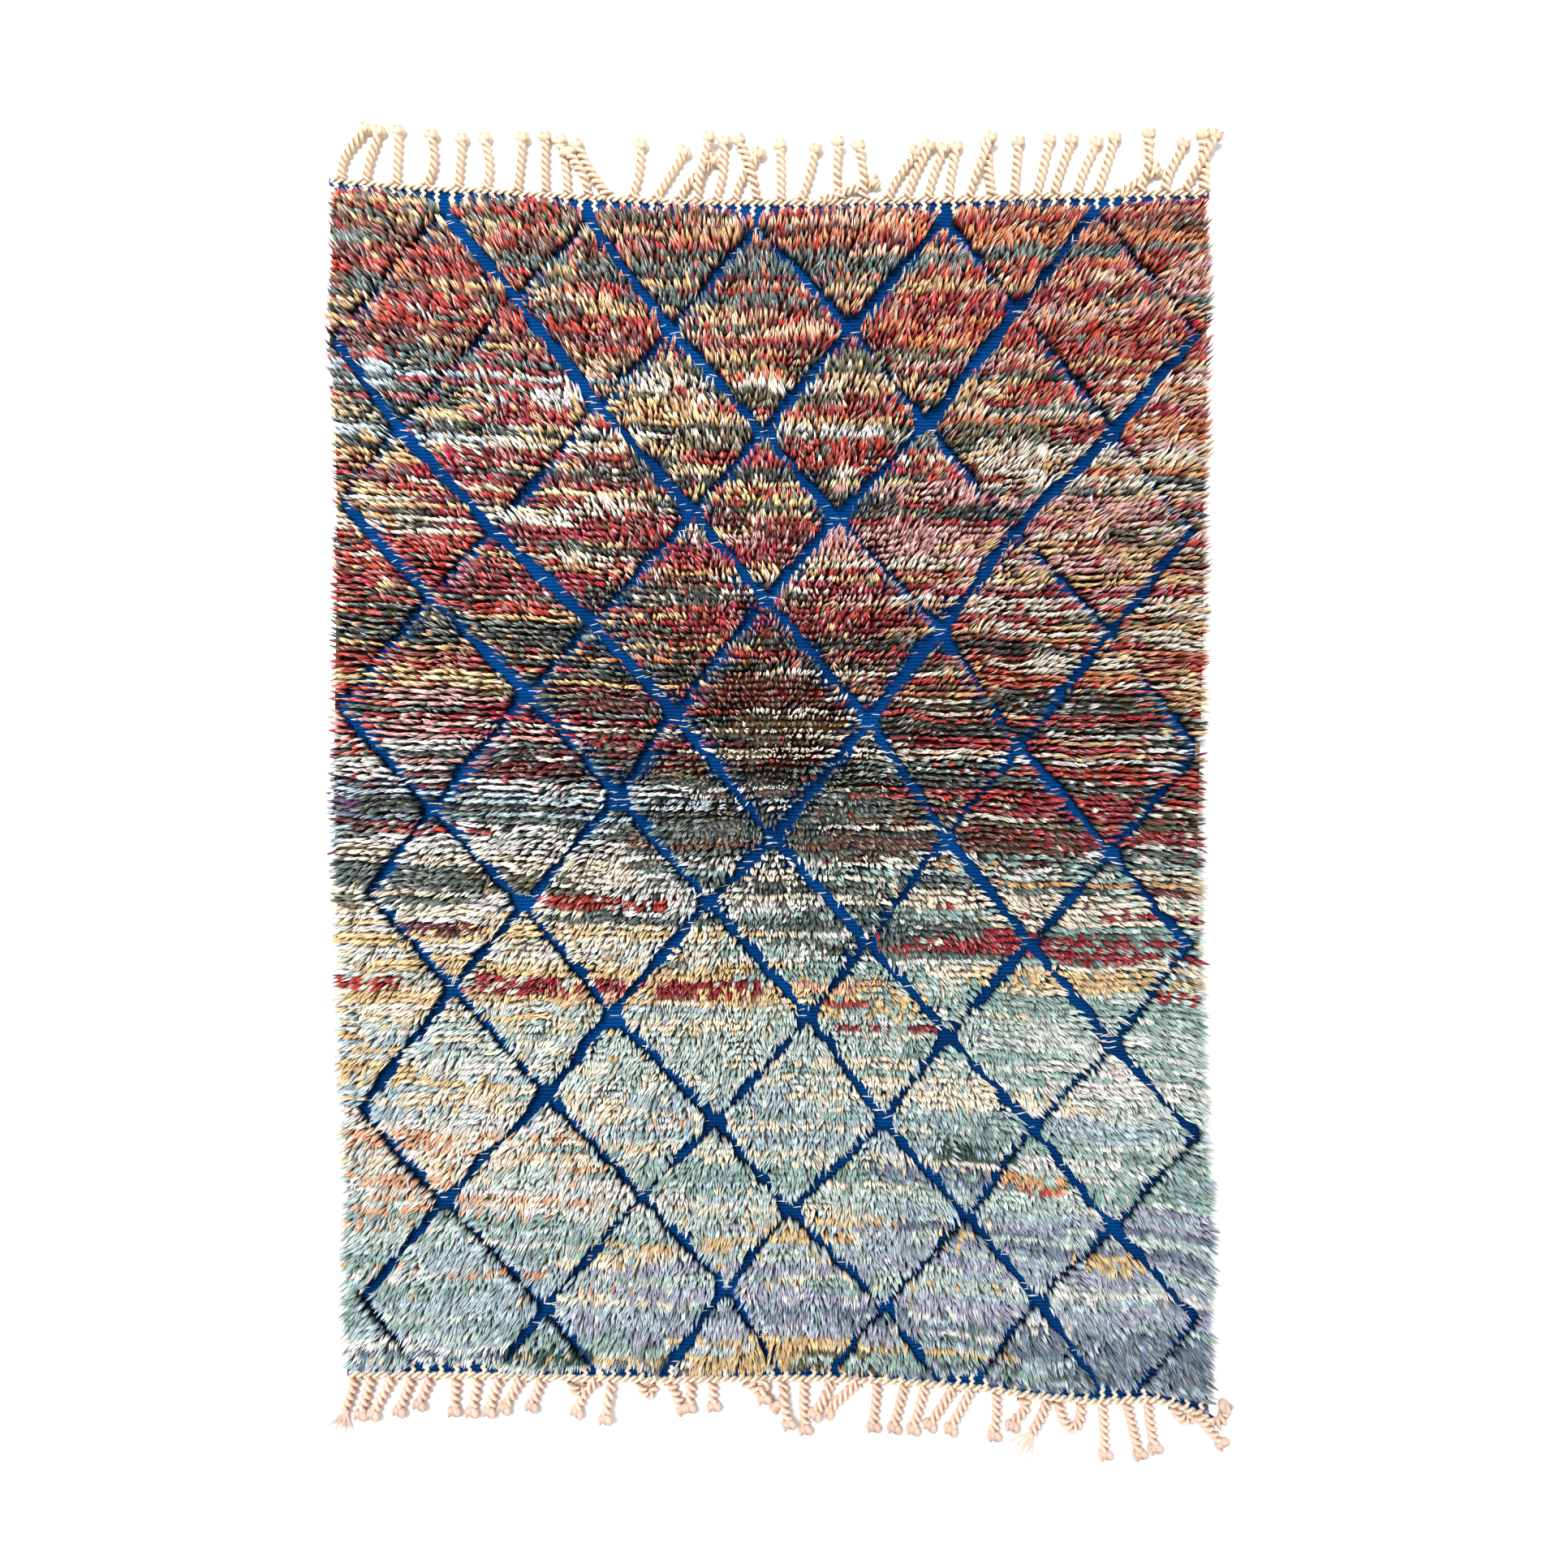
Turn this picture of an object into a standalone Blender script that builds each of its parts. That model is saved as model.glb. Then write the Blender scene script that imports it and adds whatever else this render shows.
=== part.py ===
"""Hand-knotted wool rug with deep pile, a recessed diamond lattice and knotted end fringes.

The sheet lies flat on z = 0, with its upper end towards +Y. The tables are in millimetres,
measured on the laid-out rug from a point near its middle; every other size is in metres.
"""

import math
import random
from collections import namedtuple

import bmesh
import bpy
from mathutils import Vector

MM = 0.001

# Thicknesses and heights
GROUND_THICKNESS = 0.006
HEADER_THICKNESS = 0.008
SHOULDER_HEIGHT = 0.024
EDGE_CROWN_HEIGHT = 0.034
CROWN_HEIGHT = 0.038
PILE_ROOT_DEPTH = 0.003

# Widths across the sheet
CHANNEL_WIDTH = 0.028
SHOULDER_SPREAD = 0.003
CROWN_DRAW_IN = 0.009
INNER_RING_SHARE = 0.5
GROUND_EDGE_INSET = 0.004
SIDE_PILE_INSET = 0.013
END_PILE_INSET = 0.030
HEADER_WIDTH = 0.011
PIECE_GAP = 0.00035
JOINED = -0.003

# Lumps of the pile, and the points round each field
CROWN_LUMP = 0.003
EDGE_LUMP = 0.002
STEPS_ALONG_CHANNEL = 2
STEPS_ALONG_RIM = 4
CLOSEST_CORNERS = 0.012

# Locks at the rim
SIDE_LOCK_PITCH = 0.044
END_LOCK_PITCH = 0.048
LOCK_WIDTH = 0.016
LOCK_THICKNESS = 0.012
LOCK_ROOT_DEPTH = 0.012
LOCK_MARGIN = 0.008
LOCK_LEVEL = (0.013, 0.019)
LOCK_BEND_AT = 0.55
LOCK_BEND_TAPER = 0.8
LOCK_SAG = 0.003
LOCK_TIP_WANDER = 0.006
LOCK_LEAN = 0.35
LOCK_PLACE_JITTER = 0.2
SIDE_LOCK_PROUD = (0.000, 0.006)
END_LOCK_SHORT = (0.016, 0.022)

# Fringe cords and their overhand knots
CORD_WIDTH = 0.012
CORD_HEIGHT = 0.010
CORD_ROOT_DEPTH = 0.005
CORD_ROOT_WIDTH = 0.0096
CORD_ROOT_LOW = 0.002
CORD_ROOT_HIGH = 0.006
KNOT_WIDTH = 0.021
KNOT_HEIGHT = 0.017
KNOT_LENGTH = 0.020

# The outer fields are drawn to far bounds and then held inside the edges; RIM marks such a side
FAR_SIDE = 0.800
FAR_END = 1.120
RIM = 0.0
STRAIGHT_TURN = 0.05

LatticeRow = namedtuple("LatticeRow", "level across rise")
LATTICE = (
    LatticeRow(972, (-542, -302, -25, 290, 537), (14, -4, -14, 0, 14)),
    LatticeRow(800, (-726, -425, -166, 132, 411, 710), (-25, 40, -15, -10, 21, -16)),
    LatticeRow(622, (-618, -285, -12, 257, 568), (-5, 33, -12, 0, -10)),
    LatticeRow(455, (-715, -459, -128, 109, 402, 697), (40, -13, 14, 6, -16, -16)),
    LatticeRow(290, (-565, -293, -8, 279, 561), (38, -10, 31, -18, -22)),
    LatticeRow(120, (-715, -402, -158, 159, 411, 706), (24, 46, 13, 2, -41, -47)),
    LatticeRow(-55, (-563, -253, 3, 287, 563), (30, 52, -15, -14, -42)),
    LatticeRow(-210, (-667, -410, -104, 159, 430, 693), (46, 26, 34, -34, -37, -42)),
    LatticeRow(-375, (-528, -263, 63, 293, 568), (53, 11, 7, -23, -42)),
    LatticeRow(-540, (-684, -372, -93, 187, 433, 706), (15, 42, -3, -3, -15, -26)),
    LatticeRow(-690, (-545, -215, 31, 327, 569), (14, 22, -2, -12, -32)),
    LatticeRow(-845, (-678, -375, -75, 189, 443, 708), (7, -8, 25, -5, 6, -29)),
    LatticeRow(-1035, (-520, -232, 52, 308, 579), (-10, -10, 10, 17, 1)),
)

LAST_ROW = len(LATTICE) - 1

SidePoint = namedtuple("SidePoint", "up across")
LEFT_SIDE = (
    SidePoint(-990, -710),
    SidePoint(-858, -718),
    SidePoint(-710, -716),
    SidePoint(-528, -723),
    SidePoint(-247, -731),
    SidePoint(-9, -740),
    SidePoint(192, -737),
    SidePoint(457, -733),
    SidePoint(630, -737),
    SidePoint(753, -747),
    SidePoint(876, -743),
    SidePoint(1035, -738),
)
RIGHT_SIDE = (
    SidePoint(-1060, 742),
    SidePoint(-1003, 736),
    SidePoint(-710, 741),
    SidePoint(-637, 736),
    SidePoint(-480, 727),
    SidePoint(-89, 721),
    SidePoint(32, 724),
    SidePoint(289, 731),
    SidePoint(486, 731),
    SidePoint(690, 736),
    SidePoint(876, 736),
    SidePoint(1015, 728),
)

HeaderPoint = namedtuple("HeaderPoint", "across up")
TOP_HEADER = (
    HeaderPoint(-747, 1040),
    HeaderPoint(-630, 1029),
    HeaderPoint(-480, 1021),
    HeaderPoint(-260, 1008),
    HeaderPoint(-123, 1002),
    HeaderPoint(69, 1002),
    HeaderPoint(315, 1007),
    HeaderPoint(480, 1013),
    HeaderPoint(740, 1019),
)
BOTTOM_HEADER = (
    HeaderPoint(-716, -986),
    HeaderPoint(-480, -989),
    HeaderPoint(-206, -996),
    HeaderPoint(69, -993),
    HeaderPoint(215, -999),
    HeaderPoint(343, -1008),
    HeaderPoint(425, -1021),
    HeaderPoint(548, -1032),
    HeaderPoint(644, -1029),
    HeaderPoint(685, -1038),
    HeaderPoint(726, -1053),
    HeaderPoint(752, -1070),
)

# root: place along the header; sway: sideways run of the tip; reach: distance out to the
# middle of the knot; bow: sideways swell of the middle of the cord
Cord = namedtuple("Cord", "root sway reach bow")
TOP_CORDS = (
    Cord(-726, 34, 82, -10), Cord(-685, 24, 81, -3), Cord(-633, 4, 86, 0),
    Cord(-582, 10, 81, 7), Cord(-529, 7, 78, 0), Cord(-482, -1, 82, 5),
    Cord(-429, 10, 85, 0), Cord(-381, 0, 89, -1), Cord(-345, -11, 88, 3),
    Cord(-310, -26, 58, 4), Cord(-274, -38, 84, -4), Cord(-236, 16, 84, 4),
    Cord(-196, 44, 76, 0), Cord(-156, 14, 40, 0), Cord(-126, 18, 92, -2),
    Cord(-95, 8, 96, 3), Cord(-62, 14, 68, 0), Cord(-25, 0, 90, 3),
    Cord(15, -1, 89, 1), Cord(49, 23, 82, 2), Cord(85, 5, 42, 0),
    Cord(116, -3, 86, -3), Cord(156, -10, 78, 2), Cord(195, 42, 72, -4),
    Cord(227, 38, 92, -3), Cord(263, 26, 68, -2), Cord(297, 16, 84, -1),
    Cord(332, 18, 92, -2), Cord(371, 4, 80, -1), Cord(408, 8, 85, 1),
    Cord(445, 23, 88, 1), Cord(475, 30, 84, -1), Cord(514, 33, 81, -3),
    Cord(548, 30, 88, 1), Cord(585, 16, 40, 0), Cord(621, 10, 88, 4),
    Cord(658, 20, 72, -3), Cord(693, 14, 82, -2), Cord(729, 5, 90, 2),
)
BOTTOM_CORDS = (
    Cord(-701, -22, 88, -2), Cord(-671, -19, 57, 0), Cord(-636, -20, 55, 0),
    Cord(-603, -19, 50, 0), Cord(-570, -15, 41, 0), Cord(-529, -4, 51, 0),
    Cord(-492, -11, 52, 0), Cord(-455, -19, 50, -2), Cord(-419, -26, 42, 0),
    Cord(-379, -16, 40, 0), Cord(-332, 8, 22, 0), Cord(-293, -22, 45, -4),
    Cord(-262, -6, 52, 0), Cord(-215, 10, 22, 0), Cord(-170, 18, 40, 0),
    Cord(-132, -4, 42, 0), Cord(-97, 1, 38, 0), Cord(-41, 24, 34, 0),
    Cord(22, 6, 58, -3), Cord(58, 0, 76, -2), Cord(103, -20, 42, 0),
    Cord(147, -30, 44, 0), Cord(181, -8, 68, 0), Cord(227, -19, 68, 0),
    Cord(262, -20, 67, 0), Cord(307, -34, 58, 0), Cord(340, -30, 63, 0),
    Cord(381, -5, 66, 2), Cord(425, -14, 44, 6), Cord(467, -26, 86, -3),
    Cord(506, 0, 46, 0), Cord(560, 3, 82, 0), Cord(600, 20, 82, 0),
    Cord(637, 10, 72, -2), Cord(680, 14, 24, 0), Cord(717, 28, 44, 0),
)
CORD_RINGS_AT = (0.35, 0.72)
KNOT_NECK_AT = 1.3
KNOT_SHOULDER_AT = 0.5
CLOSEST_CORD_RINGS = 0.02

Colour = namedtuple("Colour", "red green blue")
PILE_COLOUR = Colour(0.46, 0.38, 0.28)
FRINGE_COLOUR = Colour(0.86, 0.72, 0.55)
WOOL_ROUGHNESS = 0.95


def clear_scene():
    for thing in list(bpy.data.objects):
        bpy.data.objects.remove(thing, do_unlink=True)


def wool(name, colour):
    material = bpy.data.materials.new(name)
    material.use_nodes = True
    shader = material.node_tree.nodes["Principled BSDF"]
    shader.inputs["Base Color"].default_value = (colour.red, colour.green, colour.blue, 1.0)
    shader.inputs["Roughness"].default_value = WOOL_ROUGHNESS
    shader.inputs["Metallic"].default_value = 0.0
    return material


def read_between(table, place):
    """Value of a two-column table at a place, both in metres, straight between its rows."""
    place = place / MM
    if place <= table[0][0]:
        return table[0][1] * MM
    for start, end in zip(table, table[1:]):
        if place <= end[0]:
            share = (place - start[0]) / (end[0] - start[0])
            return (start[1] + share * (end[1] - start[1])) * MM
    return table[-1][1] * MM


def crossing(row, index):
    line = LATTICE[row]
    return Vector((line.across[index], line.level + line.rise[index])) * MM


def hold_inside(point):
    """A point moved to the pile's own border where it lies beyond it."""
    x = max(point.x, read_between(LEFT_SIDE, point.y) + SIDE_PILE_INSET)
    x = min(x, read_between(RIGHT_SIDE, point.y) - SIDE_PILE_INSET)
    y = min(point.y, read_between(TOP_HEADER, x) - END_PILE_INSET)
    y = max(y, read_between(BOTTOM_HEADER, x) + END_PILE_INSET)
    return Vector((x, y))


# place: where two sides of a field meet; inset: how far the side after it moves inwards
FieldCorner = namedtuple("FieldCorner", "place inset")
LANE = CHANNEL_WIDTH / 2


def diamond_fields():
    """The whole diamonds, each between four crossings."""
    for row in range(LAST_ROW - 1):
        even = row % 2 == 0
        for index in range(0, 5) if even else range(1, 5):
            left = index if even else index - 1
            places = (
                crossing(row, index),
                crossing(row + 1, left),
                crossing(row + 2, index),
                crossing(row + 1, left + 1),
            )
            yield [FieldCorner(place, LANE) for place in places]


def end_fields():
    """The half diamonds between two neighbouring lines and a header."""
    for index in range(4):
        left, right = crossing(0, index), crossing(0, index + 1)
        yield [
            FieldCorner(left, LANE),
            FieldCorner(crossing(1, index + 1), LANE),
            FieldCorner(right, LANE),
            FieldCorner(Vector((right.x, FAR_END)), RIM),
            FieldCorner(Vector((left.x, FAR_END)), LANE),
        ]
        left, right = crossing(LAST_ROW, index), crossing(LAST_ROW, index + 1)
        yield [
            FieldCorner(crossing(LAST_ROW - 1, index + 1), LANE),
            FieldCorner(left, LANE),
            FieldCorner(Vector((left.x, -FAR_END)), RIM),
            FieldCorner(Vector((right.x, -FAR_END)), LANE),
            FieldCorner(right, LANE),
        ]


def side_fields(far, outer, inner):
    """The fields down one side, joined to each other outside the turning points of the lines."""
    top, turn = crossing(0, inner), crossing(1, outer)
    yield [
        FieldCorner(top, LANE),
        FieldCorner(Vector((top.x, FAR_END)), RIM),
        FieldCorner(Vector((far, FAR_END)), RIM),
        FieldCorner(Vector((far, turn.y)), JOINED),
        FieldCorner(turn, LANE),
    ]
    for row in range(1, LAST_ROW - 1, 2):
        upper, lower = crossing(row, outer), crossing(row + 2, outer)
        yield [
            FieldCorner(upper, JOINED),
            FieldCorner(Vector((far, upper.y)), RIM),
            FieldCorner(Vector((far, lower.y)), JOINED),
            FieldCorner(lower, LANE),
            FieldCorner(crossing(row + 1, inner), LANE),
        ]
    turn, bottom = crossing(LAST_ROW - 1, outer), crossing(LAST_ROW, inner)
    yield [
        FieldCorner(turn, JOINED),
        FieldCorner(Vector((far, turn.y)), RIM),
        FieldCorner(Vector((far, -FAR_END)), RIM),
        FieldCorner(Vector((bottom.x, -FAR_END)), LANE),
        FieldCorner(bottom, LANE),
    ]


def turned_round(field):
    """The same corners in the other order, each inset still on its own side."""
    count = len(field)
    return [
        FieldCorner(field[-1 - step].place, field[(count - 2 - step) % count].inset)
        for step in range(count)
    ]


def pile_fields():
    """The corners of every field of pile between the lattice lines, anticlockwise."""
    fields = list(diamond_fields()) + list(end_fields())
    fields += side_fields(-FAR_SIDE, 0, 0)
    fields += [turned_round(field) for field in side_fields(FAR_SIDE, 5, 4)]
    return fields


def inset_corners(field):
    """The field's corners after each side has moved inwards by its own inset."""
    moved = []
    for step, here in enumerate(field):
        before, after = field[step - 1], field[(step + 1) % len(field)]
        first = (here.place - before.place).normalized()
        second = (after.place - here.place).normalized()
        start = before.place + Vector((-first.y, first.x)) * before.inset
        target = here.place + Vector((-second.y, second.x)) * here.inset
        turn = first.cross(second)
        if abs(turn) < STRAIGHT_TURN:
            moved.append(target)
        else:
            moved.append(start + first * (target - start).cross(second) / turn)
    return moved


def field_border(field):
    """Points round a field of pile, with no two close together."""
    corners = inset_corners(field)
    points = []
    for place, start in enumerate(corners):
        end = corners[(place + 1) % len(corners)]
        steps = STEPS_ALONG_RIM if field[place].inset == RIM else STEPS_ALONG_CHANNEL
        for step in range(steps):
            points.append(hold_inside(start.lerp(end, step / steps)))
    kept = []
    for point in points:
        if all((point - other).length > CLOSEST_CORNERS for other in kept):
            kept.append(point)
    return kept


def outward_normals(border):
    normals = []
    for place, point in enumerate(border):
        run = border[(place + 1) % len(border)] - border[place - 1]
        normals.append(Vector((run.y, -run.x)).normalized())
    return normals


def add_ring(mesh, points, heights):
    return [mesh.verts.new((p.x, p.y, z)) for p, z in zip(points, heights)]


def join_rings(mesh, lower, upper):
    count = len(lower)
    for place in range(count):
        after = (place + 1) % count
        mesh.faces.new((lower[place], lower[after], upper[after], upper[place]))


def add_field(mesh, border, luck):
    """One field of pile: upright shoulders, a drawn-in edge and a lumpy crown."""
    normals = outward_normals(border)
    count = len(border)
    middle = sum(border, Vector((0.0, 0.0))) / count
    spread = [p + n * SHOULDER_SPREAD for p, n in zip(border, normals)]
    drawn = [p - n * CROWN_DRAW_IN for p, n in zip(border, normals)]
    inner = [p.lerp(middle, INNER_RING_SHARE) for p in drawn]
    root = GROUND_THICKNESS - PILE_ROOT_DEPTH
    rings = [
        add_ring(mesh, border, [root] * count),
        add_ring(mesh, spread, [SHOULDER_HEIGHT + luck.uniform(-EDGE_LUMP, EDGE_LUMP) for _ in border]),
        add_ring(mesh, drawn, [EDGE_CROWN_HEIGHT + luck.uniform(-EDGE_LUMP, EDGE_LUMP) for _ in border]),
        add_ring(mesh, inner, [CROWN_HEIGHT + luck.uniform(-CROWN_LUMP, CROWN_LUMP) for _ in border]),
    ]
    for lower, upper in zip(rings, rings[1:]):
        join_rings(mesh, lower, upper)
    top = mesh.verts.new((middle.x, middle.y, CROWN_HEIGHT + luck.uniform(0, CROWN_LUMP)))
    for place in range(count):
        mesh.faces.new((rings[-1][place], rings[-1][(place + 1) % count], top))
    mesh.faces.new(list(reversed(rings[0])))


def distance_to_border(point, border):
    """How far inside a border a point lies, negative outside."""
    nearest = FAR_END
    inside = False
    for start, end in zip(border, border[1:] + border[:1]):
        run = end - start
        share = max(0.0, min(1.0, (point - start).dot(run) / run.length_squared))
        nearest = min(nearest, (point - start - run * share).length)
        if (start.y > point.y) != (end.y > point.y):
            if point.x < start.x + (point.y - start.y) / (end.y - start.y) * run.x:
                inside = not inside
    return nearest if inside else -nearest


def add_lock(mesh, foot, outward, reach, luck):
    """A three-sided lock that leans out of the pile and turns down to its tip."""
    across = Vector((-outward.y, outward.x)) * LOCK_WIDTH / 2
    low = luck.uniform(*LOCK_LEVEL)
    root = foot - outward * LOCK_ROOT_DEPTH / 2
    bend = foot + outward * reach * LOCK_BEND_AT
    wander = luck.uniform(-LOCK_TIP_WANDER, LOCK_TIP_WANDER)
    tip = foot + outward * reach + across.normalized() * wander
    sections = []
    for middle, half, high in (
        (root, across, low + LOCK_THICKNESS),
        (bend, across * LOCK_BEND_TAPER, low + LOCK_THICKNESS - LOCK_SAG),
    ):
        corners = [middle + half, middle - half, middle]
        sections.append(add_ring(mesh, corners, [low, low, high]))
    start, turn = sections
    end = mesh.verts.new((tip.x, tip.y, low))
    mesh.faces.new(start)
    for place in range(3):
        after = (place + 1) % 3
        mesh.faces.new((start[after], start[place], turn[place], turn[after]))
        mesh.faces.new((turn[after], turn[place], end))


def lock_feet(luck):
    """Foot, outward direction and reach of each lock along the four edges."""
    bottom, top = BOTTOM_HEADER[0].up * MM, TOP_HEADER[-1].up * MM
    for table, side in ((LEFT_SIDE, -1), (RIGHT_SIDE, 1)):
        depth = SIDE_PILE_INSET + LOCK_ROOT_DEPTH
        for step in range(int((top - bottom) / SIDE_LOCK_PITCH)):
            jitter = luck.uniform(-LOCK_PLACE_JITTER, LOCK_PLACE_JITTER)
            y = bottom + (step + 0.5 + jitter) * SIDE_LOCK_PITCH
            x = read_between(table, y) - side * depth
            lean = luck.uniform(-LOCK_LEAN, LOCK_LEAN)
            outward = Vector((side * math.cos(lean), math.sin(lean)))
            yield Vector((x, y)), outward, depth + luck.uniform(*SIDE_LOCK_PROUD)
    left, right = LEFT_SIDE[-1].across * MM, RIGHT_SIDE[-1].across * MM
    for table, end in ((TOP_HEADER, 1), (BOTTOM_HEADER, -1)):
        depth = END_PILE_INSET + LOCK_ROOT_DEPTH
        for step in range(int((right - left) / END_LOCK_PITCH)):
            jitter = luck.uniform(-LOCK_PLACE_JITTER, LOCK_PLACE_JITTER)
            x = left + (step + 0.5 + jitter) * END_LOCK_PITCH
            y = read_between(table, x) - end * depth
            lean = luck.uniform(-LOCK_LEAN, LOCK_LEAN)
            outward = Vector((math.sin(lean), end * math.cos(lean)))
            yield Vector((x, y)), outward, depth - luck.uniform(*END_LOCK_SHORT)


def new_object(name, mesh, material=None):
    bmesh.ops.recalc_face_normals(mesh, faces=mesh.faces)
    data = bpy.data.meshes.new(name)
    mesh.to_mesh(data)
    mesh.free()
    thing = bpy.data.objects.new(name, data)
    bpy.context.scene.collection.objects.link(thing)
    if material:
        data.materials.append(material)
    return thing


def unite(thing, other):
    """Fuses another object into this one; the other stays as a hidden guide."""
    other.hide_render = True
    other.display_type = "WIRE"
    union = thing.modifiers.new("Unite " + other.name, "BOOLEAN")
    union.operation = "UNION"
    union.solver = "EXACT"
    union.object = other


def slab_outline():
    """The woven ground's outline, anticlockwise, clear of the two headers."""
    gap = HEADER_WIDTH + PIECE_GAP
    points = []
    left_end = LEFT_SIDE[0].across * MM + GROUND_EDGE_INSET
    right_end = RIGHT_SIDE[0].across * MM - GROUND_EDGE_INSET
    for point in BOTTOM_HEADER:
        x = min(max(point.across * MM, left_end), right_end)
        points.append(Vector((x, read_between(BOTTOM_HEADER, x) + gap)))
    for point in RIGHT_SIDE[1:-1]:
        points.append(Vector((point.across * MM - GROUND_EDGE_INSET, point.up * MM)))
    left_end = LEFT_SIDE[-1].across * MM + GROUND_EDGE_INSET
    right_end = RIGHT_SIDE[-1].across * MM - GROUND_EDGE_INSET
    for point in reversed(TOP_HEADER):
        x = min(max(point.across * MM, left_end), right_end)
        points.append(Vector((x, read_between(TOP_HEADER, x) - gap)))
    for point in reversed(LEFT_SIDE[1:-1]):
        points.append(Vector((point.across * MM + GROUND_EDGE_INSET, point.up * MM)))
    return points


def add_prism(mesh, outline, thickness):
    base = add_ring(mesh, outline, [0.0] * len(outline))
    top = add_ring(mesh, outline, [thickness] * len(outline))
    join_rings(mesh, base, top)
    mesh.faces.new(list(reversed(base)))
    mesh.faces.new(top)


def build_rug():
    luck = random.Random(11)
    ground = bmesh.new()
    add_prism(ground, slab_outline(), GROUND_THICKNESS)
    rug = new_object("pile_rug", ground, wool("pile_wool", PILE_COLOUR))
    borders = [field_border(field) for field in pile_fields()]
    piles = (bmesh.new(), bmesh.new())
    for place, border in enumerate(borders):
        add_field(piles[place % 2], border, luck)
    locks = bmesh.new()
    for foot, outward, reach in lock_feet(luck):
        if max(distance_to_border(foot, border) for border in borders) > LOCK_MARGIN:
            add_lock(locks, foot, outward, reach, luck)
    for name, mesh in (("pile_even", piles[0]), ("pile_odd", piles[1]), ("rim_locks", locks)):
        unite(rug, new_object(name, mesh))


def cord_stations(length):
    """Share of the way, width and height of each ring from a cord's neck to past its knot."""
    half_knot = KNOT_LENGTH / 2 / length
    stations = [(share, CORD_WIDTH, CORD_HEIGHT) for share in CORD_RINGS_AT]
    stations += [
        (1 - KNOT_NECK_AT * half_knot, CORD_WIDTH, CORD_HEIGHT),
        (1 - KNOT_SHOULDER_AT * half_knot, KNOT_WIDTH, KNOT_HEIGHT),
        (1 + KNOT_SHOULDER_AT * half_knot, KNOT_WIDTH, KNOT_HEIGHT),
        (1 + half_knot, CORD_WIDTH, CORD_HEIGHT),
    ]
    kept = stations[:1]
    for station in stations[1:]:
        if station[0] > kept[-1][0] + CLOSEST_CORD_RINGS:
            kept.append(station)
    return kept


def add_cord(mesh, cord, header, end):
    """A four-sided cord from inside its header to a knot, with its underside on the floor."""
    root_y = read_between(header, cord.root * MM)
    foot = Vector((cord.root * MM, root_y - end * CORD_ROOT_DEPTH))
    tip = Vector(((cord.root + cord.sway) * MM, root_y + end * cord.reach * MM))
    run = tip - foot
    across = Vector((run.y, -run.x)).normalized() / 2
    root_half = Vector((end * CORD_ROOT_WIDTH / 2, 0.0))
    left, right = foot - root_half, foot + root_half
    low, high = CORD_ROOT_LOW, CORD_ROOT_HIGH
    rings = [add_ring(mesh, (left, right, right, left), (low, low, high, high))]
    for share, width, height in cord_stations(run.length):
        swell = cord.bow * MM * math.sin(math.pi * min(share, 1.0))
        middle = foot + run * share + Vector((swell, 0.0))
        left, right = middle - across * width, middle + across * width
        rings.append(add_ring(mesh, (left, right, right, left), (0.0, 0.0, height, height)))
    for lower, upper in zip(rings, rings[1:]):
        join_rings(mesh, lower, upper)
    mesh.faces.new(list(reversed(rings[0])))
    mesh.faces.new(rings[-1])


def build_fringe(name, header, cords, end, material):
    """A header strip along one end of the cloth, with the fringe cords fused into it."""
    outer = [Vector((point.across, point.up)) * MM for point in header]
    inner = [point - Vector((0.0, end * HEADER_WIDTH)) for point in outer]
    strip = bmesh.new()
    add_prism(strip, outer + list(reversed(inner)), HEADER_THICKNESS)
    fringe = new_object(name, strip, material)
    strands = bmesh.new()
    for cord in cords:
        add_cord(strands, cord, header, end)
    unite(fringe, new_object(name + "_cords", strands))


def centre_on_origin():
    """Moves the whole rug so that the middle of its box stands on the origin."""
    corners = [v.co for thing in bpy.data.objects for v in thing.data.vertices]
    middle_x = (min(c.x for c in corners) + max(c.x for c in corners)) / 2
    middle_y = (min(c.y for c in corners) + max(c.y for c in corners)) / 2
    for thing in bpy.data.objects:
        for vertex in thing.data.vertices:
            vertex.co.x -= middle_x
            vertex.co.y -= middle_y
    print(f"middle of the box in the sheet's own measures: {middle_x:.5f}, {middle_y:.5f}")


def main():
    clear_scene()
    build_rug()
    fringe_wool = wool("fringe_wool", FRINGE_COLOUR)
    build_fringe("fringe_top", TOP_HEADER, TOP_CORDS, 1, fringe_wool)
    build_fringe("fringe_bottom", BOTTOM_HEADER, BOTTOM_CORDS, -1, fringe_wool)
    centre_on_origin()


main()
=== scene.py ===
"""Looks of the hand-knotted wool rug: pile locks, woven ground, overcast sides and twisted fringe.

Distances given as whole numbers, as in the tables, are millimetres on the laid-out rug from a
point near its middle, with its upper end towards +Y. All others are metres. Colours are given as
they look on a screen and turned into linear light by the script.
"""

import math
from collections import namedtuple

import bpy
import numpy as np
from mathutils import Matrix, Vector


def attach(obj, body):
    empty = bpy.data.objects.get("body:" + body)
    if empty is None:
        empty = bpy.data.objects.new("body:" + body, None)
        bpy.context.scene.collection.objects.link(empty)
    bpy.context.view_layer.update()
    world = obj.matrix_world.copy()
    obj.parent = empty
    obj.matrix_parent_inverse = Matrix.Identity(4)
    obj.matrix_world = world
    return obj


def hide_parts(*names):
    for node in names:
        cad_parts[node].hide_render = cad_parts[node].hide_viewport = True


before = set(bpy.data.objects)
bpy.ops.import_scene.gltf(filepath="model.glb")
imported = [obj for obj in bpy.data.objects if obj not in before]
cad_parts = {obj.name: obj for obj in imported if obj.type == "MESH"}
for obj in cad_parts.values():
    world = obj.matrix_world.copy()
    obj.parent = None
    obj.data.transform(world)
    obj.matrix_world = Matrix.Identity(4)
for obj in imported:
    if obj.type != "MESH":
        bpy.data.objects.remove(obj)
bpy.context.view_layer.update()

MM = 0.001
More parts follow.
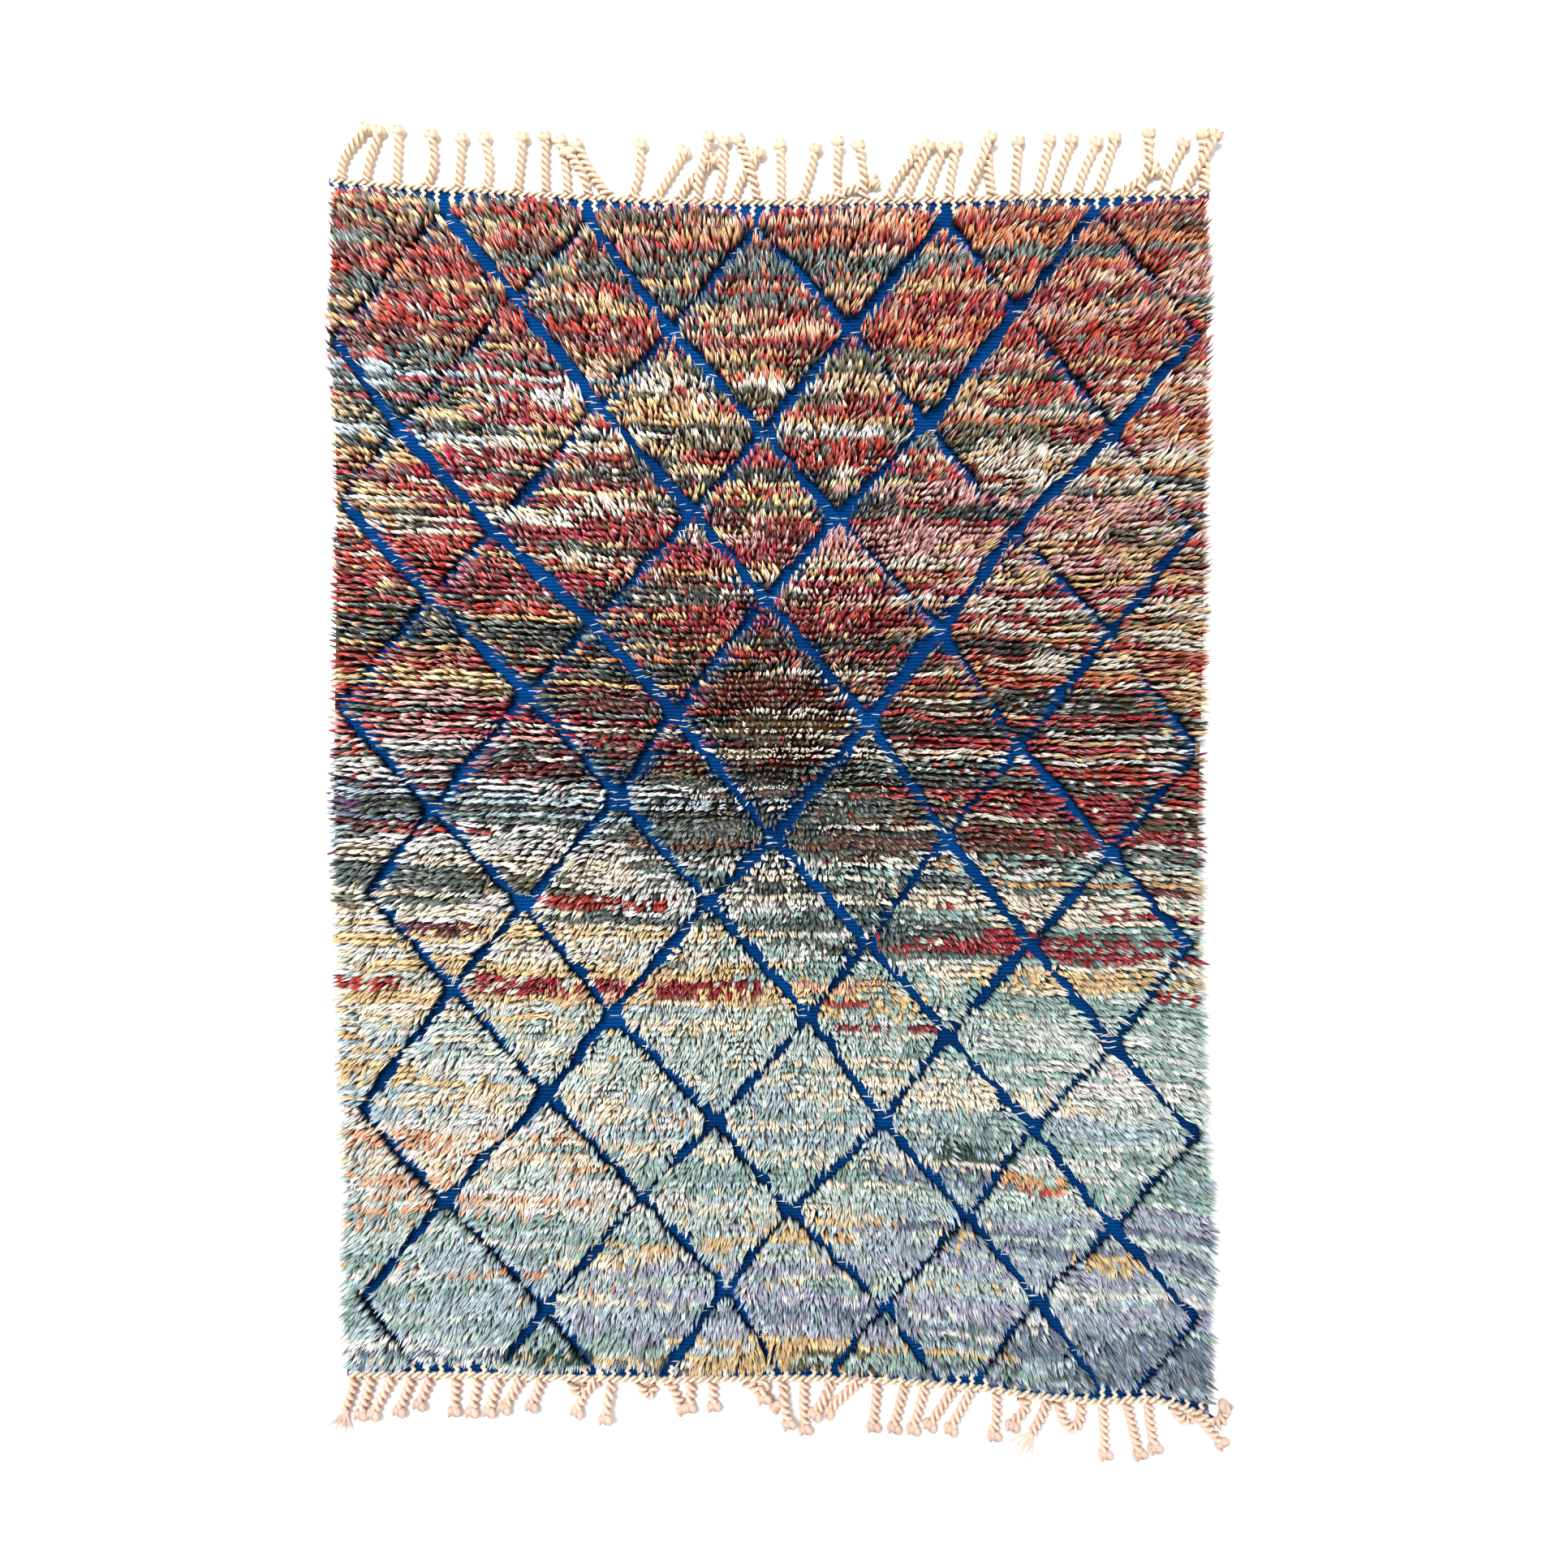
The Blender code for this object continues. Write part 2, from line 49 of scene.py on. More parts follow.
TURN = 2 * math.pi
SHEET_SHIFT = np.array((-0.00419, -0.00385, 0.0))

# A smooth random swell of the given height and length
Wave = namedtuple("Wave", "height length seed")
WAVE_PARTS = 6
WAVE_SPREAD = (0.7, 1.6)

# Seeds of the random draws
PILE_SEED, DYE_SEED, FLOAT_SEED, BED_SEED = 3, 4, 12, 14
FRINGE_SEED, COLUMN_SEED, WRAP_SEED = 20, 40, 50

# Camera, straight above the rug
CAMERA_FOOT = (0.0, 0.133)
CAMERA_HEIGHT = 1.6
CAMERA_LENS = 21.67
CAMERA_SHIFT = (0.0083, -0.0445)

# Floor and soft daylight
FLOOR_HALF = 6.0
FLOOR_GAP = 0.0005
FLOOR_GREYS = (0.88, 0.92)
SKY_STRENGTH = 0.72
LIGHT_PLACE = (-1.2, 1.6, 4.0)
LIGHT_SIZE = 1.6
LIGHT_POWER = 310.0

# Woven ground
GROUND_TOP = 0.0055
GROUND_SWELL = Wave(0.0004, 0.12, 9)
WEFT_DEPTH = Wave(1.0, 0.15, 10)
GROUND_EDGE_INSET = 0.004
GROUND_COLUMNS = 74
GROUND_ROWS = 101
GROUND_SPAN = (-0.99, 1.01)
HEADER_WIDTH = 0.011
PIECE_GAP = 0.00035

# Rows of tufts
ROW_COUNT = 192
ROW_PITCH = 0.0106
TUFT_PITCH = 0.0078
TUFT_JITTER = 0.0008
FIELD_REACH = 0.760
SIDE_PILE_INSET = 0.008
END_PILE_INSET = 0.0325
END_UNEVEN = Wave(0.0025, 0.20, 16)
END_OPENING = 0.0095
END_OPENING_REACH = 0.045

# Levels between which pairs of values change from the lower to the upper half of the rug
MIDDLE_ZONE = (-0.35, 0.15)

# Half widths of the lanes, and of the bare places where they cross
LANE_ALONG_NAP = (0.0085, 0.0106)
LANE_ACROSS_NAP = (0.0094, 0.0072)
LANE_WAVES = (Wave(0.0018, 0.05, 8), Wave(0.0020, 0.16, 15))
CROSSING_WIDTH = 0.004
CROSSING_HALF = 0.0152
SIDE_CROSSING_HALF = 0.0085
STUB_HALF = 0.007

# Locks of the pile: where they stand in a tuft, in shares of its pitch along and across the row
FOOT_PLACES = ((-0.26, -0.19), (0.26, -0.14), (-0.26, 0.14), (0.26, 0.19), (0.00, 0.00))
LOCKS_IN_TUFT = 4
EDGE_ZONE = 0.008
FOOT_JITTER = 0.0009
GATHER = (0.30, 0.62)
LOCK_FOOT = 0.004
LOCK_HEIGHT = 0.0395
LOCK_UNEVEN = 0.0012
TUFT_UNEVEN = 0.0014
SLOW_LUMP = Wave(0.0016, 0.09, 7)
EDGE_DIP = 0.0025
BELLY_RADIUS = (0.0025, 0.0021)
BELLY_LUCK = (0.80, 1.20)
BELLY_AT = 0.60
BELLY_LAG = 0.30
LEAN_BY_LUCK = (0.0026, 0.0010)
LOCK_LEAN_LUCK = 0.0009
LEAN_SWELLS = (Wave(0.0038, 0.060, 5), Wave(0.0038, 0.075, 6))
NAP_MIDDLE = (0.02, 0.03)
NAP_LEAN = (0.0068, 0.0120)
NAP_CALM = 0.12
CURL = 0.0010
PILE_PIECES = 5

# Locks beside a lane, a side or an end of the pile. The splay, reach and dip of the sides give
# the left side first
LANE_SPLAY = 0.0020
SIDE_SPLAY = ((0.0160, 0.0020), (0.0110, 0.0070))
SIDE_REACH = (0.0020, 0.0060)
SIDE_UNEVEN = 0.0012
SIDE_CALM = (0.30, 0.50)
SIDE_DIP = (0.0070, 0.0040)
END_LIFT = 0.004
SPLAY_FADE = 0.012

# Close wool low down between the locks, darkened with painted shade
BED_STEP = 0.012
BED_SPAN = (-1.05, 1.03)
BED_INSET = 0.004
BED_HEIGHT = 0.015
BED_UNEVEN = 0.0015
BED_SHADE = (0.50, 0.16)

# Painted light and shade along a lock, in the lower and the upper half of the rug
# The root and belly are darkened as painted shade, darker yarns more so, and the tip is lightened
# as a painted highlight
ROOT_SHADE = (0.56, 0.16)
ROOT_SHADE_CURVE = (1.15, 1.5)
BELLY_SHADE = (0.64, 0.40)
TIP_LIGHT = (1.09, 1.38)
# Painted highlights on the tips: a share of the locks mixed strongly towards off-white, the rest
# faintly
FAINT_TIP_HIGHLIGHT = (0.0, 0.14)
HIGHLIT_TIP_SHARE = 0.20
STRONG_TIP_HIGHLIGHT = (0.35, 0.80)
LUCK_IN_TUFT = (0.20, 0.40)
LUCK_IN_LOCK = 0.18

# Crossings of the lattice, row by row from the top: the level of a row, places across the rug,
# and how far each crossing lies above the level
LatticeRow = namedtuple("LatticeRow", "level across rise")
LATTICE = [LatticeRow(*row) for row in (
    (972, (-542, -302, -25, 290, 537), (14, -4, -14, 0, 14)),
    (800, (-726, -425, -166, 132, 411, 710), (-25, 40, -15, -10, 21, -16)),
    (622, (-618, -285, -12, 257, 568), (-5, 33, -12, 0, -10)),
    (455, (-715, -459, -128, 109, 402, 697), (40, -13, 14, 6, -16, -16)),
    (290, (-565, -293, -8, 279, 561), (38, -10, 31, -18, -22)),
    (120, (-715, -402, -158, 159, 411, 706), (24, 46, 13, 2, -41, -47)),
    (-55, (-563, -253, 3, 287, 563), (30, 52, -15, -14, -42)),
    (-210, (-667, -410, -104, 159, 430, 693), (46, 26, 34, -34, -37, -42)),
    (-375, (-528, -263, 63, 293, 568), (53, 11, 7, -23, -42)),
    (-540, (-684, -372, -93, 187, 433, 706), (15, 42, -3, -3, -15, -26)),
    (-690, (-545, -215, 31, 327, 569), (14, 22, -2, -12, -32)),
    (-845, (-678, -375, -75, 189, 443, 708), (7, -8, 25, -5, 6, -29)),
    (-1035, (-520, -232, 52, 308, 579), (-10, -10, 10, 17, 1)),
)]
LAST_ROW = len(LATTICE) - 1
FAR_END = 1.120

# Levels between which the crossings begin to lie lower than they look, and by how much
DROP_ZONE = (300, 800)
CROSSING_DROP = (0, 17)

# Short ends of lattice lines that run on to the side of the rug
Stub = namedtuple("Stub", "row place side")
STUBS = (Stub(1, 5, 745), Stub(5, 5, 745), Stub(1, 0, -748))

# Edges of the rug: stations along an edge, and its place across them. The sides run up the rug
# and the headers across it
Edge = namedtuple("Edge", "along place")
LEFT_SIDE = Edge(
    (-990, -858, -710, -528, -247, -9, 192, 457, 630, 753, 876, 1035),
    (-710, -718, -716, -723, -731, -740, -737, -733, -737, -747, -743, -738),
)
RIGHT_SIDE = Edge(
    (-1060, -1003, -710, -637, -480, -89, 32, 289, 486, 690, 876, 1015),
    (742, 736, 741, 736, 727, 721, 724, 731, 731, 736, 736, 728),
)

TOP_HEADER = Edge(
    (-747, -630, -480, -260, -123, 69, 315, 480, 740),
    (1040, 1029, 1021, 1008, 1002, 1002, 1007, 1013, 1019),
)
BOTTOM_HEADER = Edge(
    (-716, -480, -206, 69, 215, 343, 425, 548, 644, 685, 726, 752),
    (-986, -989, -996, -993, -999, -1008, -1021, -1032, -1029, -1038, -1053, -1070),
)

# Dyed yarns, as red, green and blue out of 255
YARNS = {
    "brick": (170, 44, 32), "crimson": (152, 18, 36), "vermilion": (196, 58, 36),
    "orange": (222, 122, 74), "peach": (236, 178, 142), "tan": (220, 168, 116),
    "pink": (222, 154, 150), "cream": (248, 230, 202), "off_white": (238, 234, 226),
    "ochre": (234, 198, 144), "yellow": (246, 208, 132), "olive": (98, 90, 64),
    "brown": (106, 56, 44), "grey_green": (82, 98, 94), "charcoal": (42, 52, 50),
    "dark_green": (38, 78, 70), "sky": (180, 200, 208), "sea": (150, 180, 174),
    "pale_sea": (200, 215, 208), "slate": (112, 128, 148), "periwinkle": (172, 176, 198),
    "maroon": (100, 24, 34), "purple": (110, 58, 108),
}
YARN_NAMES = list(YARNS)

# Where each family of yarns is knotted: down to a level, in the left, middle and right third
DyeBand = namedtuple("DyeBand", "down_to left middle right")
DYE_BANDS = [DyeBand(*row) for row in (
    (916, "olive brick tan brown grey_green", "brick orange brick peach brown",
     "crimson peach orange brick brown"),
    (848, "brick olive brown tan maroon", "maroon peach brick grey_green orange",
     "brick peach grey_green pink orange"),
    (714, "brick charcoal tan maroon grey_green brown", "maroon grey_green brick tan peach brick",
     "brick orange pink crimson peach tan grey_green"),
    (578, "cream charcoal sky tan crimson grey_green", "cream tan olive charcoal brick peach",
     "crimson pink brick cream orange peach grey_green"),
    (443, "crimson maroon cream charcoal tan brick",
     "cream ochre pink brick peach crimson charcoal",
     "crimson pink peach orange tan cream grey_green"),
    (295, "brick maroon tan crimson charcoal cream", "pink crimson cream brown brick peach",
     "crimson pink brick olive cream tan"),
    (160, "charcoal tan grey_green brown brick olive", "brown brick tan crimson orange charcoal",
     "tan brick crimson cream olive orange"),
    (25, "crimson pink off_white grey_green maroon charcoal",
     "charcoal olive cream brick maroon brown", "olive brick charcoal crimson off_white tan"),
    (-97, "off_white grey_green sky charcoal maroon slate",
     "charcoal off_white grey_green olive brown", "olive charcoal cream crimson brick"),
    (-191, "olive cream off_white grey_green", "grey_green off_white sea charcoal cream",
     "sea off_white maroon grey_green tan"),
    (-299, "cream ochre pale_sea off_white", "sea cream pale_sea grey_green off_white",
     "sea cream crimson pale_sea grey_green"),
    (-353, "ochre cream peach pale_sea", "ochre cream peach pale_sea", "cream sea ochre pale_sea"),
    (-529, "pale_sea sky cream ochre off_white", "pale_sea sky pale_sea sea cream",
     "pale_sea off_white pale_sea sea"),
    (-704, "sky pale_sea peach off_white cream", "sky pale_sea sea cream",
     "sea sky off_white pale_sea"),
    (-839, "sky peach sea pale_sea off_white", "cream ochre periwinkle pale_sea sky",
     "slate periwinkle sky pale_sea"),
    (-907, "sea sky off_white pale_sea", "sea periwinkle sky off_white",
     "periwinkle slate sky off_white"),
    (-1200, "sky sea off_white slate pale_sea", "sky ochre olive pale_sea",
     "slate grey_green sea sky periwinkle"),
)]
THIRD_BORDER = 0.243
THIRD_BLUR = 0.090
BAND_BLUR = 0.012

# Runs of one yarn along the rows
RUN_LENGTH = (0.050, 0.150)
RUN_MAIN_SHARE = (0.80, 0.84)
RUN_MAIN_ZONE = (0.4, 0.6)
RUN_END_BLUR = 0.009
SAME_AS_BEFORE = 0.34

# Single strong streaks: from, to, level and thickness in millimetres
Streak = namedtuple("Streak", "yarn left right level thickness")
STREAKS = [Streak(*row) for row in (
    ("vermilion", -420, -310, 980, 30), ("brick", -740, -640, 998, 13),
    ("brick", -450, -375, 932, 20), ("vermilion", -610, -480, 902, 18),
    ("vermilion", -340, -310, 910, 13), ("orange", -640, -595, 866, 22),
    ("grey_green", -705, -640, 848, 30), ("ochre", -735, -650, 817, 22),
    ("crimson", -675, -575, 816, 18), ("off_white", -605, -570, 792, 16),
    ("vermilion", -690, -595, 780, 22), ("maroon", -655, -495, 764, 20),
    ("peach", -410, -260, 824, 13), ("brick", -330, -245, 834, 18),
    ("grey_green", -375, -330, 792, 16), ("crimson", -520, -345, 720, 10),
    ("peach", -340, -245, 708, 42), ("ochre", -595, -500, 626, 20),
    ("crimson", -465, -330, 638, 31), ("off_white", -400, -310, 656, 27),
    ("ochre", -740, -640, 634, 18), ("sky", -740, -620, 600, 16),
    ("charcoal", -740, -620, 584, 12), ("ochre", -410, -315, 592, 24),
    ("orange", -80, 30, 690, 19), ("ochre", -175, -75, 624, 10), ("brick", 115, 210, 648, 15),
    ("off_white", 5, 210, 598, 20), ("brick", 20, 210, 576, 26), ("yellow", -125, -30, 490, 22),
    ("yellow", -15, 80, 482, 26), ("maroon", -110, -45, 452, 19), ("maroon", -5, 70, 420, 20),
    ("crimson", -175, -75, 402, 19), ("ochre", -740, -420, 196, 26),
    ("vermilion", -740, -645, 92, 54), ("purple", -740, -675, -18, 10),
    ("brick", -635, -470, -62, 13), ("crimson", 405, 605, -26, 34),
    ("maroon", -620, -485, -218, 16), ("brick", -375, -160, -184, 13),
    ("crimson", 310, 510, -254, 20), ("ochre", 335, 635, -306, 27),
    ("brick", -740, -635, -312, 12), ("crimson", -500, -335, -316, 18),
    ("crimson", -310, -215, -314, 13), ("crimson", -200, -15, -324, 18),
    ("ochre", -120, 65, -332, 27), ("ochre", 80, 270, -352, 44), ("brick", 90, 160, -345, 12),
    ("crimson", 110, 260, -388, 10), ("brick", 635, 715, -340, 15),
    ("peach", -700, -525, -572, 20), ("dark_green", 270, 400, -594, 24),
    ("slate", 175, 405, -636, 27), ("tan", 365, 500, -648, 24), ("vermilion", 420, 480, -656, 10),
    ("ochre", 285, 345, -742, 42), ("ochre", 510, 620, -784, 27),
    ("periwinkle", -335, 200, -884, 40), ("dark_green", -445, -285, -932, 26),
    ("ochre", -445, -285, -975, 24), ("ochre", -135, 0, -950, 24), ("slate", 470, 740, -986, 54),
)]
STREAK_SHARE = 0.76
STREAK_MARGIN = 0.2
THICK_STREAK = 40
THICK_SHARE = 0.42

# Blue weft of the lattice, and the cream warp that floats over it
WEFT_BLUE = (0, 66, 132)
WEFT_DEEP = (0, 50, 106)
WARP_CREAM = (230, 216, 194)
FLOAT_SHARE = 0.10
CROSSING_FLOATS = 0.55
FLOAT_ZONE = (-0.0120, -0.0005)
FLOAT_LENGTH = (0.010, 0.024)
FLOAT_HALF_WIDTH = 0.0008
FLOAT_PLACE = 1
FLOAT_TILT = (0.10, 0.14)
FLOAT_TOP = 0.0017

# End bands: a twined line along the edge, and columns of slanting stitches inside it
TWINE_INSET = 0.0050
TWINE_SHORT = 0.004
TWINE_STEP = 0.0021
TWINE_WAVE = Wave(0.0007, 0.05, 30)
TWINE_HEIGHT = 0.0066
TWINE_PITCH = 0.026
TWINE_PLY = 0.0036
TWINE_HELIX = 0.0027
COLUMN_PITCH = 0.0242
COLUMN_JITTER = 0.0012
COLUMNS_SHORT = (0.014, 0.010)
STITCHES = 4
FIRST_STITCH = 0.0105
STITCH_STEP = 0.0052
STITCH_SIZE = (0.0053, 0.0033, 0.0025)
STITCH_SWAY = 0.0012
STITCH_TILT = 0.6
STITCH_TILT_LUCK = 0.12
STITCH_SIZE_LUCK = (0.88, 1.12)
STITCH_SHADE = (0.88, 1.0)
STITCH_RINGS = ((-0.4, 0.85), (0.25, 1.0), (0.8, 0.6))
STITCH_SIDES = 6
BAND_TOP = 0.0052
BAND_STATIONS = 90
BAND_INSET = (0.001, 0.0005)
BAND_SHADE = 0.8

# Overcast sides
WRAP_PITCH = 0.0077
WRAP_RADIUS = 0.0042
WRAP_SWELL = 0.0009
WRAP_INSET = 0.0048
WRAPS_SHORT = 0.012
WRAP_DYE_AT = 0.98
RINGS_IN_WRAP = 4
WRAP_SIDES = 6
# Random spread of the wraps' colour, left side first; the right side's wraps are darkened far more
# as painted shade
WRAP_SHADE = ((0.70, 1.05), (0.25, 0.50))

# Fringe cords
FRINGE_CREAM = (238, 213, 186)
FRINGE_PINK = (236, 205, 186)
CORD_PITCH = 0.024
CORD_STEP = 0.0026
CORD_PLY = 0.0052
CORD_HELIX = 0.0042
CORD_LEVEL = 0.0098
PLY_SIDES = 6
TWINE_SIDES = 5
CORD_SHADE = (0.9, 1.08)
CORD_POINTS = 16
CORD_CLIMB = 1.7
# Painted shade in the grooves: each ply darker and browner on its inner side, each knot on the
# sides that face into it
GROOVE_SHADE_TINT = np.array((0.50, 0.36, 0.29))
PLY_GROOVE_SHADE = 0.35
KNOT_GROOVE_SHADE = 0.45
GROOVE_SHADE_FALL = 0.75
ROOT_DEPTH = 0.004
ROOT_OPENING = 0.0034
ROOT_FADE = 0.005
KNOT_SCALE = 0.0030
KNOT_LIFT = 0.0034
KNOT_LEVEL = 0.0112
KNOT_RADIUS = 0.0058
KNOT_SHADE = 0.80
KNOT_SIDES = 8
KNOT_POINTS = 24
KNOT_THINS = (1.15, 0.35)
KNOT_START = math.pi + 0.5
KNOT_END = TURN + math.pi / 3
KNOT_ROOM = 0.008
TAIL_LENGTH = 0.006

# root: place along the header; sway: sideways run of the tip; reach: distance out to the middle
# of the knot; bow: sideways swell of the cord; lift: rise of the outer part over its neighbours
Cord = namedtuple("Cord", "root sway reach bow lift", defaults=(0, 0))
TOP_CORDS = [Cord(*row) for row in (
    (-726, 41, 82, -12), (-685, 24, 81, -3), (-633, 4, 86), (-582, 10, 81, 8), (-529, 7, 78),
    (-482, -1, 82, 6), (-429, 10, 85), (-381, 0, 89, -1), (-345, -11, 86, 3),
    (-310, -29, 64, 7, 8), (-274, -53, 81, -4), (-236, 16, 84, 4), (-196, 49, 75),
    (-156, 58, 63, -8), (-126, 21, 95, -2, 12), (-95, 16, 95, 4), (-62, 41, 75, -7),
    (-25, -29, 89, 5, 12), (15, -1, 89, 1), (49, 25, 82, 2), (85, 88, 27, -4),
    (116, -5, 86, -5, 12), (156, -10, 78, 2, 12), (195, 49, 75, -5), (227, 38, 84, -3),
    (263, 26, 79, -3), (297, 14, 81, -1), (332, 34, 89, -2, 12), (371, -7, 84, -1),
    (408, 8, 85, 1), (445, 23, 88, 1), (475, 30, 86, -1), (514, 33, 81, -3), (548, 30, 88, 1),
    (585, 63, 34), (621, 10, 85, 4, 12), (662, 32, 75, -4), (696, 47, 82, -2, 12),
    (729, -1, 89, 2),
)]
BOTTOM_CORDS = [Cord(*row) for row in (
    (-671, -19, 59), (-636, -33, 58), (-603, -22, 52), (-572, -19, 41), (-529, -4, 51),
    (-492, -11, 52), (-455, -19, 51, -2), (-419, -29, 44), (-384, -18, 40), (-293, -33, 47, -7),
    (-267, -10, 51, 0, 10), (-170, 21, 40), (-132, -5, 38), (-97, 1, 36), (-41, 49, 37),
    (-11, 0, 16, 0, 12), (22, 8, 59, -3, 12), (58, 0, 77, -2), (103, -29, 44, 0, 10),
    (147, -51, 44), (181, -8, 68), (227, -19, 68), (262, -22, 68), (310, -42, 58), (340, -37, 63),
    (381, -5, 67, 2), (425, -18, 44, 12), (560, 3, 81), (600, 21, 82), (637, 10, 73, -2),
    (717, 41, 44), (749, 13, -38, 5, 6),
)]

# Short, looped and frayed cords of the lower end, as points on the sheet in millimetres
CURLED_CORDS = (
    ((-332, -992), (-330, -1004), (-322, -1012), (-312, -1008), (-313, -998)),
    ((-217, -994), (-216, -1006), (-207, -1014), (-197, -1009), (-200, -999)),
    ((486, -1026), (489, -1045), (498, -1064), (510, -1071), (520, -1062), (524, -1046),
     (523, -1030)),
    ((681, -1034), (686, -1050), (700, -1058), (711, -1050), (706, -1041)),
)
FRAYED_CORDS = (
    ((467, -1024), (460, -1042), (452, -1060), (441, -1078)),
    ((-699, -984), (-706, -1010), (-716, -1040)),
)
FRAY_STRANDS = 13
FRAY_LENGTH = (0.032, 0.050)
FRAY_FAN = 0.55
FRAY_RADIUS = 0.0018
FRAY_POINTS = 7
FRAY_TURN = 0.06
FRAY_WAVES = (2, 5)
FRAY_WAVER = 0.003


def linear(colour):
    """Linear light of a colour given as it looks on a screen, out of 255."""
    share = np.asarray(colour, dtype=float) / 255
    return np.where(share <= 0.04045, share / 12.92, ((share + 0.055) / 1.055) ** 2.4)


def edge_at(edge, along):
    """Place of an edge at stations along it, all in metres."""
    return np.interp(np.asarray(along) / MM, edge.along, edge.place) * MM


def reach_of(edge):
    """First and last station of an edge."""
    return edge.along[0] * MM, edge.along[-1] * MM


def ends_at(x):
    """Levels of the lower and the upper end of the rug at places across it."""
    return edge_at(BOTTOM_HEADER, x), edge_at(TOP_HEADER, x)


def slow_wave(x, y, wave):
    """Smooth random swells of about the height and length of a wave."""
    dice = np.random.default_rng(wave.seed)
    total = np.zeros(np.shape(x))
    for _ in range(WAVE_PARTS):
        angle = dice.uniform(0, TURN)
        phase = dice.uniform(0, TURN)
        run = wave.length * dice.uniform(*WAVE_SPREAD)
        total += np.sin((x * math.cos(angle) + y * math.sin(angle)) * TURN / run + phase)
    return wave.height * (total / math.sqrt(WAVE_PARTS))


def crossing(row, place):
    """Place of a crossing; near the top it lies lower than it looks, half under the nap."""
    line = LATTICE[row]
    level = line.level + line.rise[place]
    lowered = level - np.interp(level, DROP_ZONE, CROSSING_DROP)
    return np.array((line.across[place], lowered)) * MM


# A stretch of blue ground without pile, with its half width
Lane = namedtuple("Lane", "start end half")


def by_half(y, pair):
    """Value at a level between the one of the lower half and the one of the upper half."""
    return np.interp(y, MIDDLE_ZONE, pair)


def lattice_lane(start, end):
    """A lane of the lattice: its width depends on how it runs against the lie of the nap."""
    middle = (start + end) / 2
    run, outward = end - start, middle - NAP_MIDDLE
    along = run.dot(outward) ** 2 / (run.dot(run) * max(outward.dot(outward), MM))
    wide, narrow = by_half(middle[1], LANE_ALONG_NAP), by_half(middle[1], LANE_ACROSS_NAP)
    return Lane(start, end, float(narrow + (wide - narrow) * along))


def lattice_lanes():
    """The straight lanes of the diamond lattice, the ends that reach a header, and the stubs."""
    for row in range(0, LAST_ROW + 1, 2):
        for place in range(5):
            here = crossing(row, place)
            for other in (row - 1, row + 1):
                if 0 < other < LAST_ROW:
                    yield lattice_lane(here, crossing(other, place))
                    yield lattice_lane(here, crossing(other, place + 1))
    widening = np.array((CROSSING_WIDTH, 0.0))
    for row in range(1, LAST_ROW):
        for place in range(len(LATTICE[row].across)):
            here = crossing(row, place)
            at_side = row % 2 and place in (0, 5)
            half = SIDE_CROSSING_HALF if at_side else CROSSING_HALF
            yield Lane(here - widening, here + widening, half)
    for place in range(5):
        top, bottom = crossing(0, place), crossing(LAST_ROW, place)
        yield lattice_lane(top, np.array((top[0], FAR_END)))
        yield lattice_lane(bottom, np.array((bottom[0], -FAR_END)))
    for stub in STUBS:
        start = crossing(stub.row, stub.place)
        yield Lane(start, np.array((stub.side * MM, start[1])), STUB_HALF)


def lane_clearance(spots):
    """Distance of each spot beyond the edge of the nearest lane, and the direction away from it."""
    nearest = np.full(len(spots), FAR_END)
    away = np.zeros((len(spots), 2))
    for lane in lattice_lanes():
        run = lane.end - lane.start
        offset = spots - lane.start
        share = np.clip(offset @ run / run.dot(run), 0, 1)
        gap = offset - share[:, None] * run
        reach = np.hypot(gap[:, 0], gap[:, 1])
        closer = reach - lane.half < nearest
        nearest[closer] = reach[closer] - lane.half
        away[closer] = gap[closer] / np.maximum(reach[closer, None], MM)
    return nearest, away


def in_field(x, y):
    """Whether pile can stand at places: inside the sides and the two end bands."""
    inside = x > edge_at(LEFT_SIDE, y) + SIDE_PILE_INSET
    inside &= x < edge_at(RIGHT_SIDE, y) - SIDE_PILE_INSET
    for row, header, end in ((0, TOP_HEADER, 1), (LAST_ROW, BOTTOM_HEADER, -1)):
        lane_ends = np.array(LATTICE[row].across) * MM
        near = np.abs(x[:, None] - lane_ends).min(axis=1) / END_OPENING_REACH
        inset = END_PILE_INSET + END_OPENING * np.exp(-(near**2))
        inset += slow_wave(x, np.full(len(x), end), END_UNEVEN)
        inside &= (edge_at(header, x) - y) * end > inset
    return inside


def tuft_grid(dice):
    """Places of all tufts with their rows, from side to side and from end to end."""
    columns = np.arange(-FIELD_REACH, FIELD_REACH, TUFT_PITCH)
    x, row = np.meshgrid(columns, np.arange(ROW_COUNT))
    x = x + (row % 2) * TUFT_PITCH / 2
    x = (x + dice.normal(0, TUFT_JITTER, x.shape)).ravel()
    row = row.ravel()
    bottom, top = ends_at(x)
    share = (row + 0.5) / ROW_COUNT
    y = bottom + share * (top - bottom) + dice.normal(0, TUFT_JITTER, x.shape)
    return np.column_stack((x, y)), row


def row_of(x, y):
    """The row of knots that passes through a place."""
    bottom, top = ends_at(x)
    return (y - bottom) / (top - bottom) * ROW_COUNT - 0.5


def family_at(x, y):
    """The yarns that are knotted near a place."""
    level = y / MM
    band = next(band for band in DYE_BANDS if level >= band.down_to or band is DYE_BANDS[-1])
    if x < -THIRD_BORDER:
        return band.left.split()
    if x > THIRD_BORDER:
        return band.right.split()
    return band.middle.split()


